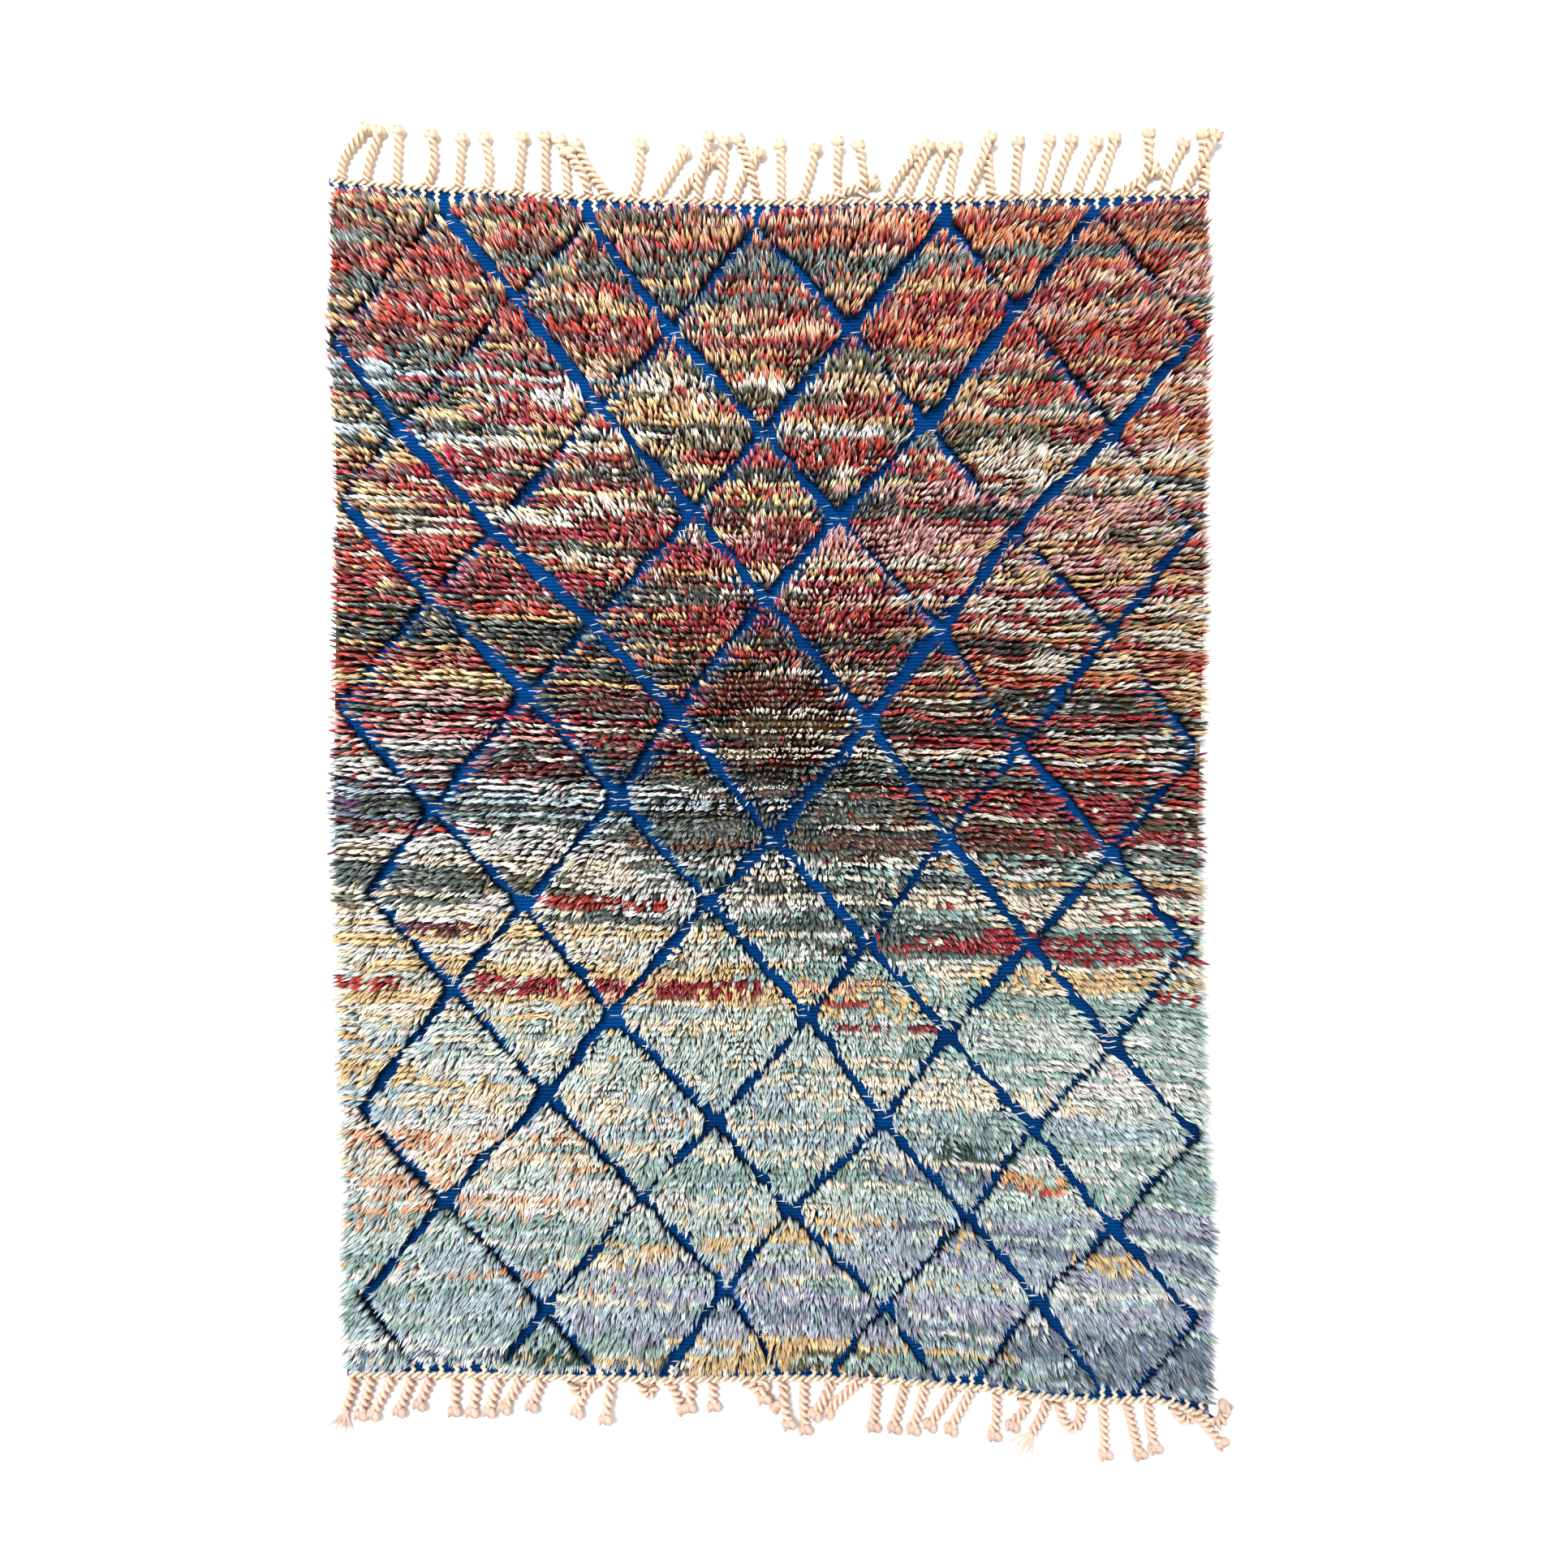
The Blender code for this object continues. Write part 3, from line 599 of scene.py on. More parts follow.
def dye(x, row):
    """Number of the yarn in each knot: runs along the rows, then the strong streaks."""
    dice = np.random.default_rng(DYE_SEED)
    yarn = np.zeros(len(x), dtype=int)
    blurred = x + dice.normal(0, RUN_END_BLUR, len(x))
    draw = dice.random(len(x))
    ends, colours = [], []
    for number in range(-1, ROW_COUNT + 1):
        before_ends, before_colours = ends, colours
        ends, colours = [], []
        here = -FIELD_REACH
        while here < FIELD_REACH:
            length = RUN_LENGTH[0] + dice.exponential(RUN_LENGTH[1])
            middle = here + length / 2
            low, high = ends_at(middle)
            level = low + (number + 0.5) / ROW_COUNT * (high - low)
            family = family_at(
                middle + dice.normal(0, THIRD_BLUR), level + dice.normal(0, BAND_BLUR)
            )
            main, accent, third = (YARN_NAMES.index(name) for name in dice.choice(family, 3))
            if before_ends and dice.random() < SAME_AS_BEFORE:
                main = before_colours[np.searchsorted(before_ends[:-1], middle)][0]
            here += length
            ends.append(here)
            colours.append((main, accent, third))
        held = np.nonzero(row == number)[0]
        run = np.array(colours)[np.searchsorted(ends[:-1], blurred[held])]
        main_share = np.interp(number / ROW_COUNT, RUN_MAIN_ZONE, RUN_MAIN_SHARE)
        yarn[held] = np.where(
            draw[held] < main_share,
            run[:, 0],
            np.where(draw[held] < (1 + main_share) / 2, run[:, 1], run[:, 2]),
        )
    for streak in STREAKS:
        middle = (streak.left + streak.right) / 2 * MM
        high = row_of(middle, (streak.level + streak.thickness / 2) * MM)
        low = row_of(middle, (streak.level - streak.thickness / 2) * MM)
        held = (blurred > streak.left * MM) & (blurred < streak.right * MM)
        held &= (row >= low - STREAK_MARGIN) & (row <= high + STREAK_MARGIN)
        places = np.nonzero(held)[0]
        share = STREAK_SHARE if streak.thickness < THICK_STREAK else THICK_SHARE
        yarn[places[dice.random(len(places)) < share]] = YARN_NAMES.index(streak.yarn)
    return yarn


YARN_LIGHT = np.array([linear(colour) for colour in YARNS.values()])


def add_object(name, data):
    """A new object in the scene."""
    thing = bpy.data.objects.new(name, data)
    bpy.context.scene.collection.objects.link(thing)
    return thing


def add_piece(name, points, faces, colours, material, slot):
    """A smooth mesh piece from arrays, in the sheet's own measures, riding on the rug's body."""
    data = bpy.data.meshes.new(name)
    data.from_pydata((points + SHEET_SHIFT).tolist(), [], faces)
    shades = np.ones((len(points), 4))
    shades[:, :3] = np.clip(colours, 0, 1)
    layer = data.color_attributes.new("yarn", "FLOAT_COLOR", "POINT")
    layer.data.foreach_set("color", shades.ravel())
    data.polygons.foreach_set("use_smooth", np.ones(len(data.polygons), dtype=bool))
    data.materials.append(material)
    data.update()
    thing = add_object(name, data)
    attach(thing, "root")
    return thing


def new_material(name):
    """A new material with its shader nodes."""
    material = bpy.data.materials.new(name)
    material.use_nodes = True
    return material, material.node_tree


def set_inputs(tree, node, inputs):
    """Sets inputs of a node, each to a value or to a link from the output of another node."""
    for name, value in inputs.items():
        if isinstance(value, bpy.types.NodeSocket):
            tree.links.new(value, node.inputs[name])
        else:
            node.inputs[name].default_value = value


def add_node(tree, kind, inputs):
    """A new shader node with its inputs."""
    node = tree.nodes.new("ShaderNode" + kind)
    set_inputs(tree, node, inputs)
    return node


def scaled(tree, colour, factor):
    """A colour made lighter or darker by a factor."""
    node = add_node(tree, "VectorMath", {})
    node.operation = "SCALE"
    set_inputs(tree, node, {0: colour, "Scale": factor})
    return node.outputs["Vector"]


def yarn_material(name, grain, stretch, depth, rough, sheen, shade):
    """Wool whose colour is in the mesh, with fibre streaks, uneven dye and a fibre bump."""
    material, tree = new_material(name)
    place = add_node(tree, "TexCoord", {}).outputs["Object"]
    mapped = add_node(tree, "Mapping", {"Vector": place, "Scale": stretch}).outputs["Vector"]
    noise = add_node(tree, "TexNoise", {"Vector": mapped, "Scale": grain, "Detail": 3.0})
    fibre = noise.outputs["Fac"]
    limits = {"From Min": 0.3, "From Max": 0.7, "To Min": shade, "To Max": 1.0 + (1.0 - shade) / 3}
    streaks = add_node(tree, "MapRange", {"Value": fibre, **limits}).outputs["Result"]
    dyed = add_node(tree, "Attribute", {})
    dyed.attribute_name = "yarn"
    bump = add_node(tree, "Bump", {"Strength": 0.5, "Distance": depth, "Height": fibre})
    set_inputs(tree, tree.nodes["Principled BSDF"], {
        "Roughness": rough,
        "Sheen Weight": sheen,
        "Sheen Roughness": 0.6,
        "Specular IOR Level": 0.05,
        "Base Color": scaled(tree, dyed.outputs["Color"], streaks),
        "Normal": bump.outputs["Normal"],
    })
    return material


def weave_material(name):
    """Blue weft-faced ground: fine ribs of weft that dip between the warps, with painted shade in
    the dips.
    """
    material = yarn_material(name, 900.0, (0.35, 1.0, 1.0), 0.0006, 0.9, 0.0, 0.72)
    tree = material.node_tree
    wave = add_node(tree, "TexWave", {
        "Vector": add_node(tree, "TexCoord", {}).outputs["Object"],
        "Scale": 52.0,
        "Distortion": 2.2,
        "Detail": 1.5,
        "Detail Scale": 0.6,
    })
    wave.bands_direction = "Y"
    ribs = wave.outputs["Fac"]
    # Painted shade in the dips between the ribs, as well as the rib bump
    shaded = add_node(tree, "MapRange", {"Value": ribs, "To Min": 0.45, "To Max": 1.1})
    shader = tree.nodes["Principled BSDF"]
    fibre_colour = shader.inputs["Base Color"].links[0].from_socket
    fibre_bump = shader.inputs["Normal"].links[0].from_socket
    relief = add_node(tree, "Bump", {
        "Strength": 0.8,
        "Distance": 0.0009,
        "Height": ribs,
        "Normal": fibre_bump,
    })
    set_inputs(tree, shader, {
        "Base Color": scaled(tree, fibre_colour, shaded.outputs["Result"]),
        "Normal": relief.outputs["Normal"],
    })
    return material


def lean_of_tufts(tufts, dice):
    """Lean of each tuft from its foot to its tip: outward with the nap, by swells and by luck."""
    x, y = tufts[:, 0], tufts[:, 1]
    lean = dice.normal(0, 1, tufts.shape) * LEAN_BY_LUCK
    for axis, swell in enumerate(LEAN_SWELLS):
        lean[:, axis] += slow_wave(x, y, swell)
    outward = tufts - NAP_MIDDLE
    far = np.hypot(outward[:, 0], outward[:, 1])[:, None]
    lain = by_half(y, NAP_LEAN)[:, None] * (1 - np.exp(-far / NAP_CALM))
    return lean + outward / np.maximum(far, MM) * lain


def near(distance):
    """1 at an edge or beyond it, fading with the distance inside."""
    return np.exp(-np.maximum(distance, 0) / SPLAY_FADE)


def lock_shape(feet, centres, lean, lift, clearance, away, dice):
    """Foot, belly and tip of each lock: gathered in its tuft, splayed over lanes and edges."""
    count = len(feet)
    x, y = feet[:, 0], feet[:, 1]
    near_lane = near(clearance)
    left, right = edge_at(LEFT_SIDE, y), edge_at(RIGHT_SIDE, y)
    bottom, top = ends_at(x)
    near_left = near(x - left - SIDE_PILE_INSET)
    near_right = near(right - SIDE_PILE_INSET - x)
    lean = lean + dice.normal(0, LOCK_LEAN_LUCK, (count, 2))
    lean[:, 0] *= 1 - by_half(y, SIDE_CALM) * (near_left + near_right)
    lean -= away * (LANE_SPLAY * near_lane)[:, None]
    lean[:, 0] -= by_half(y, SIDE_SPLAY[0]) * near_left
    lean[:, 0] += by_half(y, SIDE_SPLAY[1]) * near_right
    lean[:, 1] -= END_LIFT * near(top - END_PILE_INSET - y)
    lean[:, 1] += END_LIFT * near(y - bottom - END_PILE_INSET)
    height = LOCK_HEIGHT + lift + dice.normal(0, LOCK_UNEVEN, count)
    height -= SIDE_DIP[0] * near_left + SIDE_DIP[1] * near_right
    height += slow_wave(x, y, SLOW_LUMP) - EDGE_DIP * near_lane
    gathered = (centres - feet) * by_half(y, GATHER)[:, None]
    foot = np.column_stack((feet, np.full(count, LOCK_FOOT)))
    tip = np.column_stack((feet + gathered + lean, height))
    ragged = dice.normal(0, SIDE_UNEVEN, count)
    furthest = left - SIDE_REACH[0] + ragged, right + SIDE_REACH[1] + ragged
    tip[:, 0] = np.clip(tip[:, 0], *furthest)
    belly = foot + (tip - foot) * BELLY_AT
    belly[:, :2] -= lean * BELLY_LAG
    belly[:, :2] += dice.normal(0, CURL, (count, 2))
    return foot, belly, tip


def lock_colours(wool, tip_highlight, y):
    """Colours of each lock's five points: painted shade at root and belly, painted highlight at the
    tip.
    """
    pale = wool * (1 - tip_highlight) + linear(YARNS["off_white"]) * tip_highlight
    shaded_root = np.clip(wool, 0, 1) ** by_half(y, ROOT_SHADE_CURVE)[:, None]
    shaded_root = shaded_root * by_half(y, ROOT_SHADE)[:, None]
    belly = wool * by_half(y, BELLY_SHADE)[:, None]
    tip = pale * by_half(y, TIP_LIGHT)[:, None]
    return np.stack((shaded_root, belly, belly, belly, tip), axis=1)


def lock_arrays(foot, belly, tip, dice):
    """Three-sided locks as points and faces: five points and six faces each."""
    count = len(foot)
    turned = dice.uniform(0, TURN, count)[:, None] + np.arange(3) * TURN / 3
    ring = np.stack((np.cos(turned), np.sin(turned), np.zeros((count, 3))), axis=-1)
    girth = by_half(foot[:, 1], BELLY_RADIUS) * dice.uniform(*BELLY_LUCK, count)
    middle = belly[:, None, :] + ring * girth[:, None, None]
    points = np.concatenate((foot[:, None, :], middle, tip[:, None, :]), axis=1).reshape(-1, 3)
    start = np.arange(count)[:, None, None] * 5
    sides = start + np.array(((0, 2, 1), (0, 3, 2), (0, 1, 3), (1, 2, 4), (2, 3, 4), (3, 1, 4)))
    return points, sides.reshape(-1, 3).tolist()


def build_pile(material):
    """All locks of the rug, cut by the lattice, as a few pieces side by side up the rug."""
    dice = np.random.default_rng(PILE_SEED)
    tufts, row = tuft_grid(dice)
    count = len(tufts)
    yarn = dye(tufts[:, 0], row)
    lean = lean_of_tufts(tufts, dice)
    lift = dice.normal(0, TUFT_UNEVEN, count)
    wool = YARN_LIGHT[yarn]
    wool = wool * np.exp(dice.normal(0, 1, count) * by_half(tufts[:, 1], LUCK_IN_TUFT))[:, None]
    places = len(FOOT_PLACES)
    tuft = np.repeat(np.arange(count), places)
    place = np.tile(np.arange(places), count)
    feet = tufts[tuft] + np.array(FOOT_PLACES)[place] * (TUFT_PITCH, ROW_PITCH)
    feet += dice.normal(0, FOOT_JITTER, feet.shape)
    clearance, away = lane_clearance(feet)
    for wave in LANE_WAVES:
        clearance += slow_wave(feet[:, 0], feet[:, 1], wave)
    inside = in_field(feet[:, 0], feet[:, 1])
    bare = inside & (clearance <= 0) & (place == FLOAT_PLACE)
    kept = np.nonzero(
        inside & (clearance > 0) & ((place < LOCKS_IN_TUFT) | (clearance < EDGE_ZONE))
    )[0]
    tuft = tuft[kept]
    foot, belly, tip = lock_shape(
        feet[kept], tufts[tuft], lean[tuft], lift[tuft], clearance[kept], away[kept], dice
    )
    count = len(kept)
    luck = np.exp(dice.normal(0, LUCK_IN_LOCK, count))[:, None]
    # Painted highlight: how far each lock's tip is mixed towards off-white
    tip_highlight = np.where(
        dice.random(count) < HIGHLIT_TIP_SHARE,
        dice.uniform(*STRONG_TIP_HIGHLIGHT, count),
        dice.uniform(*FAINT_TIP_HIGHLIGHT, count),
    )
    colours = lock_colours(wool[tuft] * luck, tip_highlight[:, None], feet[kept, 1])
    pieces = []
    for number, share in enumerate(np.array_split(np.argsort(feet[kept, 1]), PILE_PIECES)):
        points, faces = lock_arrays(foot[share], belly[share], tip[share], dice)
        shades = colours[share].reshape(-1, 3)
        name = f"pile_{number + 1}"
        pieces.append(add_piece(name, points, faces, shades, material, "pile_wool"))
    return pieces, feet[bare], clearance[bare]


def grid_cells(wide, shaded_root):
    """Corners of the cells between the points of a grid, wide points to a row."""
    first = (np.arange(shaded_root - 1)[:, None] * wide + np.arange(wide - 1)).ravel()
    return np.column_stack((first, first + 1, first + 1 + wide, first + wide))


def build_bed(material):
    """The close wool under the locks' tips, darkened as painted shade, so that no ground shows
    between them.
    """
    columns = np.arange(-FIELD_REACH, FIELD_REACH, BED_STEP)
    levels = np.arange(*BED_SPAN, BED_STEP)
    x, y = (grid.ravel() for grid in np.meshgrid(columns, levels))
    clearance, _ = lane_clearance(np.column_stack((x, y)))
    inside = (clearance > BED_INSET) & in_field(x, y)
    cells = grid_cells(len(columns), len(levels))
    cells = cells[inside[cells].all(axis=1)]
    used, renumbered = np.unique(cells, return_inverse=True)
    x, y = x[used], y[used]
    dice = np.random.default_rng(BED_SEED)
    height = BED_HEIGHT + dice.normal(0, BED_UNEVEN, len(x))
    points = np.column_stack((x, y, height))
    colours = YARN_LIGHT[dye(x, np.round(row_of(x, y)))]
    # Painted shade: the bed is darkened, darker yarns more so
    colours = colours ** by_half(y, ROOT_SHADE_CURVE)[:, None] * by_half(y, BED_SHADE)[:, None]
    faces = renumbered.reshape(cells.shape).tolist()
    return add_piece("pile_bed", points, faces, colours, material, "pile_wool")


def build_ground(material):
    """The flat-woven ground as one closed sheet, blue above and in the knots' colours below."""
    share_x, share_y = np.meshgrid(
        np.linspace(0, 1, GROUND_COLUMNS + 1), np.linspace(0, 1, GROUND_ROWS + 1)
    )
    rough_y = GROUND_SPAN[0] + (GROUND_SPAN[1] - GROUND_SPAN[0]) * share_y
    left = edge_at(LEFT_SIDE, rough_y) + GROUND_EDGE_INSET
    right = edge_at(RIGHT_SIDE, rough_y) - GROUND_EDGE_INSET
    x = (left + share_x * (right - left)).ravel()
    end_gap = HEADER_WIDTH + PIECE_GAP
    bottom, top = ends_at(x)
    bottom, top = bottom + end_gap, top - end_gap
    y = bottom + share_y.ravel() * (top - bottom)
    count = len(x)
    high = GROUND_TOP + slow_wave(x, y, GROUND_SWELL)
    upper = np.column_stack((x, y, high))
    lower = np.column_stack((x, y, np.zeros(count)))
    wide = GROUND_COLUMNS + 1
    over = grid_cells(wide, GROUND_ROWS + 1)
    under = over[:, ::-1] + count
    rim = list(range(GROUND_COLUMNS))
    rim += [step * wide + GROUND_COLUMNS for step in range(GROUND_ROWS)]
    rim += [GROUND_ROWS * wide + step for step in range(GROUND_COLUMNS, 0, -1)]
    rim += [step * wide for step in range(GROUND_ROWS, 0, -1)]
    rim = np.array(rim)
    after = np.roll(rim, -1)
    walls = np.column_stack((rim + count, after + count, after, rim))
    faces = np.concatenate((over, under, walls)).tolist()
    depth = (0.5 + 0.5 * np.clip(slow_wave(x, y, WEFT_DEPTH), -1, 1))[:, None]
    blue = linear(WEFT_BLUE) * (1 - depth) + linear(WEFT_DEEP) * depth
    backs = YARN_LIGHT[dye(x, np.round(row_of(x, y)))]
    ground = add_piece(
        "woven_ground",
        np.concatenate((upper, lower)),
        faces,
        np.concatenate((blue, backs)),
        material,
        "pile_wool",
    )
    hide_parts("pile_rug")
    return ground


def build_floats(spots, clearance, material):
    """Short cream warp floats that lie over the blue ground beside the pile."""
    dice = np.random.default_rng(FLOAT_SEED)
    shown = (clearance > FLOAT_ZONE[0]) & (clearance < FLOAT_ZONE[1])
    crossings = np.array([
        crossing(row, place)
        for row in range(LAST_ROW + 1)
        for place in range(len(LATTICE[row].across))
    ])
    reach = np.linalg.norm(spots[:, None, :] - crossings[None, :, :], axis=2).min(axis=1)
    share = FLOAT_SHARE + CROSSING_FLOATS * np.exp(-((reach / CROSSING_HALF) ** 2))
    shown &= dice.random(len(spots)) < share
    middle = spots[shown]
    count = len(middle)
    half = dice.uniform(*FLOAT_LENGTH, count) / 2
    tilt = dice.normal(*FLOAT_TILT, count)
    run = np.column_stack((np.cos(tilt), np.sin(tilt), np.zeros(count)))
    side = np.column_stack((-run[:, 1], run[:, 0], np.zeros(count))) * FLOAT_HALF_WIDTH
    rise = np.array((0, 0, FLOAT_TOP))
    centre = np.column_stack((middle, np.full(count, GROUND_TOP - MM / 2)))
    rings = [centre - run * half[:, None]]
    for share in (-0.5, 0.5):
        ring = centre + run * half[:, None] * share
        rings += [ring - side, ring + rise, ring + side]
    rings.append(centre + run * half[:, None])
    points = np.stack(rings, axis=1).reshape(-1, 3)
    start = np.arange(count)[:, None, None] * 8
    quads = start + np.array(((1, 2, 5, 4), (2, 3, 6, 5)))
    ends = start + np.array(((0, 2, 1), (0, 3, 2), (7, 4, 5), (7, 5, 6)))
    faces = quads.reshape(-1, 4).tolist() + ends.reshape(-1, 3).tolist()
    colours = np.tile(linear(WARP_CREAM), (len(points), 1))
    return add_piece("warp_floats", points, faces, colours, material, "fringe_wool")


# Points, faces and colours of a part of a piece
Part = namedtuple("Part", "points faces colours")


def join_parts(parts):
    """Several parts as one set of arrays."""
    faces = []
    before = 0
    for part in parts:
        faces += [[place + before for place in face] for face in part.faces]
        before += len(part.points)
    points = np.concatenate([part.points for part in parts])
    colours = np.concatenate([part.colours for part in parts])
    return points, faces, colours


def length_along(path):
    """Length of a path up to each of its points."""
    steps = np.linalg.norm(np.diff(path, axis=0), axis=1)
    return np.concatenate(([0.0], np.cumsum(steps)))


def even_steps(path, step, smoothing):
    """The same path with points an even step apart, its kinks smoothed."""
    path = np.asarray(path, dtype=float)
    walked = length_along(path)
    count = max(4, int(round(walked[-1] / step)) + 1)
    stops = np.linspace(0, walked[-1], count)
    even = np.column_stack([np.interp(stops, walked, path[:, axis]) for axis in range(3)])
    for _ in range(smoothing):
        even[1:-1] = (even[:-2] + 2 * even[1:-1] + even[2:]) / 4
    return even


def frames_along(path):
    """Sideways and upward directions at each point of a path."""
    along = np.gradient(path, axis=0)
    along /= np.linalg.norm(along, axis=1)[:, None]
    sideways = np.cross(along, (0.0, 0.0, 1.0))
    sideways /= np.maximum(np.linalg.norm(sideways, axis=1), MM)[:, None]
    return sideways, np.cross(sideways, along)


def tube(path, sideways, upward, radius, sides, colour):
    """A closed tube round a path; radius is one value or one for each point."""
    radius = np.broadcast_to(np.asarray(radius, dtype=float), len(path))
    angles = np.arange(sides) * TURN / sides
    ring = sideways[:, None, :] * np.cos(angles)[None, :, None]
    ring = ring + upward[:, None, :] * np.sin(angles)[None, :, None]
    points = (path[:, None, :] + ring * radius[:, None, None]).reshape(-1, 3)
    first = (np.arange(len(path) - 1)[:, None] * sides + np.arange(sides)).ravel()
    after = (np.arange(len(path) - 1)[:, None] * sides + (np.arange(sides) + 1) % sides).ravel()
    faces = np.column_stack((first, after, after + sides, first + sides)).tolist()
    faces.append(list(range(sides))[::-1])
    faces.append(list(range(len(points) - sides, len(points))))
    return Part(points, faces, np.tile(colour, (len(points), 1)))


def twisted(path, ply, helix, pitch, sides, opening, colour):
    """Two plies twisted round a path, apart at its root by the opening, with painted shade in each
    ply's groove.
    """
    sideways, upward = frames_along(path)
    walked = length_along(path)
    wide = helix + opening * np.exp(-walked / ROOT_FADE)
    parts = []
    for half_turn in (0, math.pi):
        angle = walked * TURN / pitch + half_turn
        offset = sideways * (np.cos(angle) * wide)[:, None]
        offset = offset + upward * (np.sin(angle) * helix)[:, None]
        made = tube(path + offset, sideways, upward, ply, sides, colour)
        outward = offset / np.linalg.norm(offset, axis=1)[:, None]
        spokes = (made.points.reshape(len(path), sides, 3) - (path + offset)[:, None, :]) / ply
        facing = np.einsum("psk,pk->ps", spokes, outward).reshape(-1, 1)
        # Painted shade: the side of each ply that faces the other ply is darkened
        groove_shade = np.clip(PLY_GROOVE_SHADE - GROOVE_SHADE_FALL * facing, 0, 1)
        shades = made.colours * (1 - groove_shade) + made.colours * GROOVE_SHADE_TINT * groove_shade
        parts.append(made._replace(colours=shades))
    return parts


def knot_path(centre, along):
    """The turns of an overhand knot round a centre, in a cord that runs in a direction."""
    turn = np.linspace(KNOT_START, KNOT_END, KNOT_POINTS)
    side = np.array((along[1], -along[0]))
    right = (np.sin(turn) + 2 * np.sin(2 * turn)) * KNOT_SCALE
    ahead = (np.cos(turn) - 2 * np.cos(2 * turn)) * KNOT_SCALE
    high = KNOT_LEVEL - np.sin(3 * turn) * KNOT_LIFT
    flat = centre + right[:, None] * side + ahead[:, None] * along
    return np.column_stack((flat, high))


def cord_paths(cord, header, end):
    """A cord's middle line from inside its header up to its knot, and the line of its knot."""
    root_y = float(edge_at(header, cord.root * MM))
    foot = np.array((cord.root * MM, root_y - end * ROOT_DEPTH))
    centre = np.array(((cord.root + cord.sway) * MM, root_y + end * cord.reach * MM))
    share = np.linspace(0, 1, CORD_POINTS)
    run = centre - foot
    length = np.linalg.norm(run)
    flat = foot + share[:, None] * run * (1 - KNOT_ROOM / length)
    flat[:, 0] += np.sin(math.pi * share) * cord.bow * MM
    rise = cord.lift * MM * (1 - np.cos(math.pi * np.clip(CORD_CLIMB * share, 0, 1))) / 2
    line = np.column_stack((flat, CORD_LEVEL + rise))
    knot = knot_path(centre, run / length)
    knot[:, 2] += cord.lift * MM
    last = knot[-1] - knot[-2]
    tail = knot[-1] + last / np.linalg.norm(last) * TAIL_LENGTH
    return even_steps(line, CORD_STEP, 2), even_steps(np.vstack((knot, tail)), CORD_STEP, 1)


def plump_knot(path, colour):
    """The tight turns of a knot as one soft thick strand that thins out at its tail, with painted
    shade where it faces into the knot.
    """
    sideways, upward = frames_along(path)
    share = np.linspace(0, 1, len(path))
    radius = KNOT_RADIUS * np.clip((KNOT_THINS[0] - share) / KNOT_THINS[1], KNOT_THINS[1], 1)
    made = tube(path, sideways, upward, radius, KNOT_SIDES, colour)
    middle = path[:, None, :].repeat(KNOT_SIDES, axis=1).reshape(-1, 3)
    outward = made.points - path.mean(axis=0)
    outward /= np.linalg.norm(outward, axis=1)[:, None]
    facing = np.einsum("pi,pi->p", (made.points - middle) / KNOT_RADIUS, outward)
    # Painted shade: the sides that face into the knot are darkened
    groove_shade = np.clip(KNOT_GROOVE_SHADE - GROOVE_SHADE_FALL * facing, 0, 1)[:, None]
    return made._replace(colours=made.colours * (1 - groove_shade * (1 - GROOVE_SHADE_TINT)))


def cord_plies(path, colour):
    """The two plies of a fringe cord."""
    return twisted(path, CORD_PLY, CORD_HELIX, CORD_PITCH, PLY_SIDES, ROOT_OPENING, colour)


def frayed_tassel(path, colour, dice):
    """Loose tapering strands beyond the end of a cord."""
    parts = []
    start = path[-1]
    heading = path[-1] - path[-3]
    angle = math.atan2(heading[1], heading[0])
    for strand in range(FRAY_STRANDS):
        turned = angle + FRAY_FAN * (strand / (FRAY_STRANDS - 1) - 0.5) * 2
        turned += dice.normal(0, FRAY_TURN)
        reach = dice.uniform(*FRAY_LENGTH)
        share = np.linspace(0, 1, FRAY_POINTS)
        waver = np.sin(share * dice.uniform(*FRAY_WAVES)) * dice.uniform(-FRAY_WAVER, FRAY_WAVER)
        x = start[0] + np.cos(turned) * reach * share - np.sin(turned) * waver
        y = start[1] + np.sin(turned) * reach * share + np.cos(turned) * waver
        z = np.linspace(CORD_LEVEL, FRAY_RADIUS + dice.uniform(0, FRAY_WAVER), FRAY_POINTS)
        line = np.column_stack((x, y, z))
        sideways, upward = frames_along(line)
        radius = FRAY_RADIUS * (1.1 - 0.8 * share)
        parts.append(tube(line, sideways, upward, radius, 4, colour))
    return parts


def build_fringe(name, node, header, cords, end, base, extra, material):
    """All cords of one end, with the cream twined line; the blue strip that they leave from is
    built apart.
    """
    dice = np.random.default_rng(FRINGE_SEED + end)
    parts = []
    for cord in cords:
        colour = linear(base) * dice.uniform(*CORD_SHADE)
        line, knot = cord_paths(cord, header, end)
        parts += cord_plies(line, colour)
        parts.append(plump_knot(knot, colour * KNOT_SHADE))
    for route, frayed in extra:
        colour = linear(base) * dice.uniform(*CORD_SHADE)
        flat = np.array(route) * MM
        path = even_steps(np.column_stack((flat, np.full(len(flat), CORD_LEVEL))), CORD_STEP, 4)
        parts += cord_plies(path, colour)
        if frayed:
            parts += frayed_tassel(path, colour, dice)
    low, high = reach_of(header)
    x = np.arange(low + TWINE_SHORT, high - TWINE_SHORT, TWINE_STEP)
    y = edge_at(header, x) - end * TWINE_INSET + slow_wave(x, x, TWINE_WAVE)
    line = np.column_stack((x, y, np.full(len(x), TWINE_HEIGHT)))
    parts += twisted(line, TWINE_PLY, TWINE_HELIX, TWINE_PITCH, TWINE_SIDES, 0, linear(WARP_CREAM))
    fringe = add_piece(name, *join_parts(parts), material, "fringe_wool")
    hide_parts(node)
    return fringe


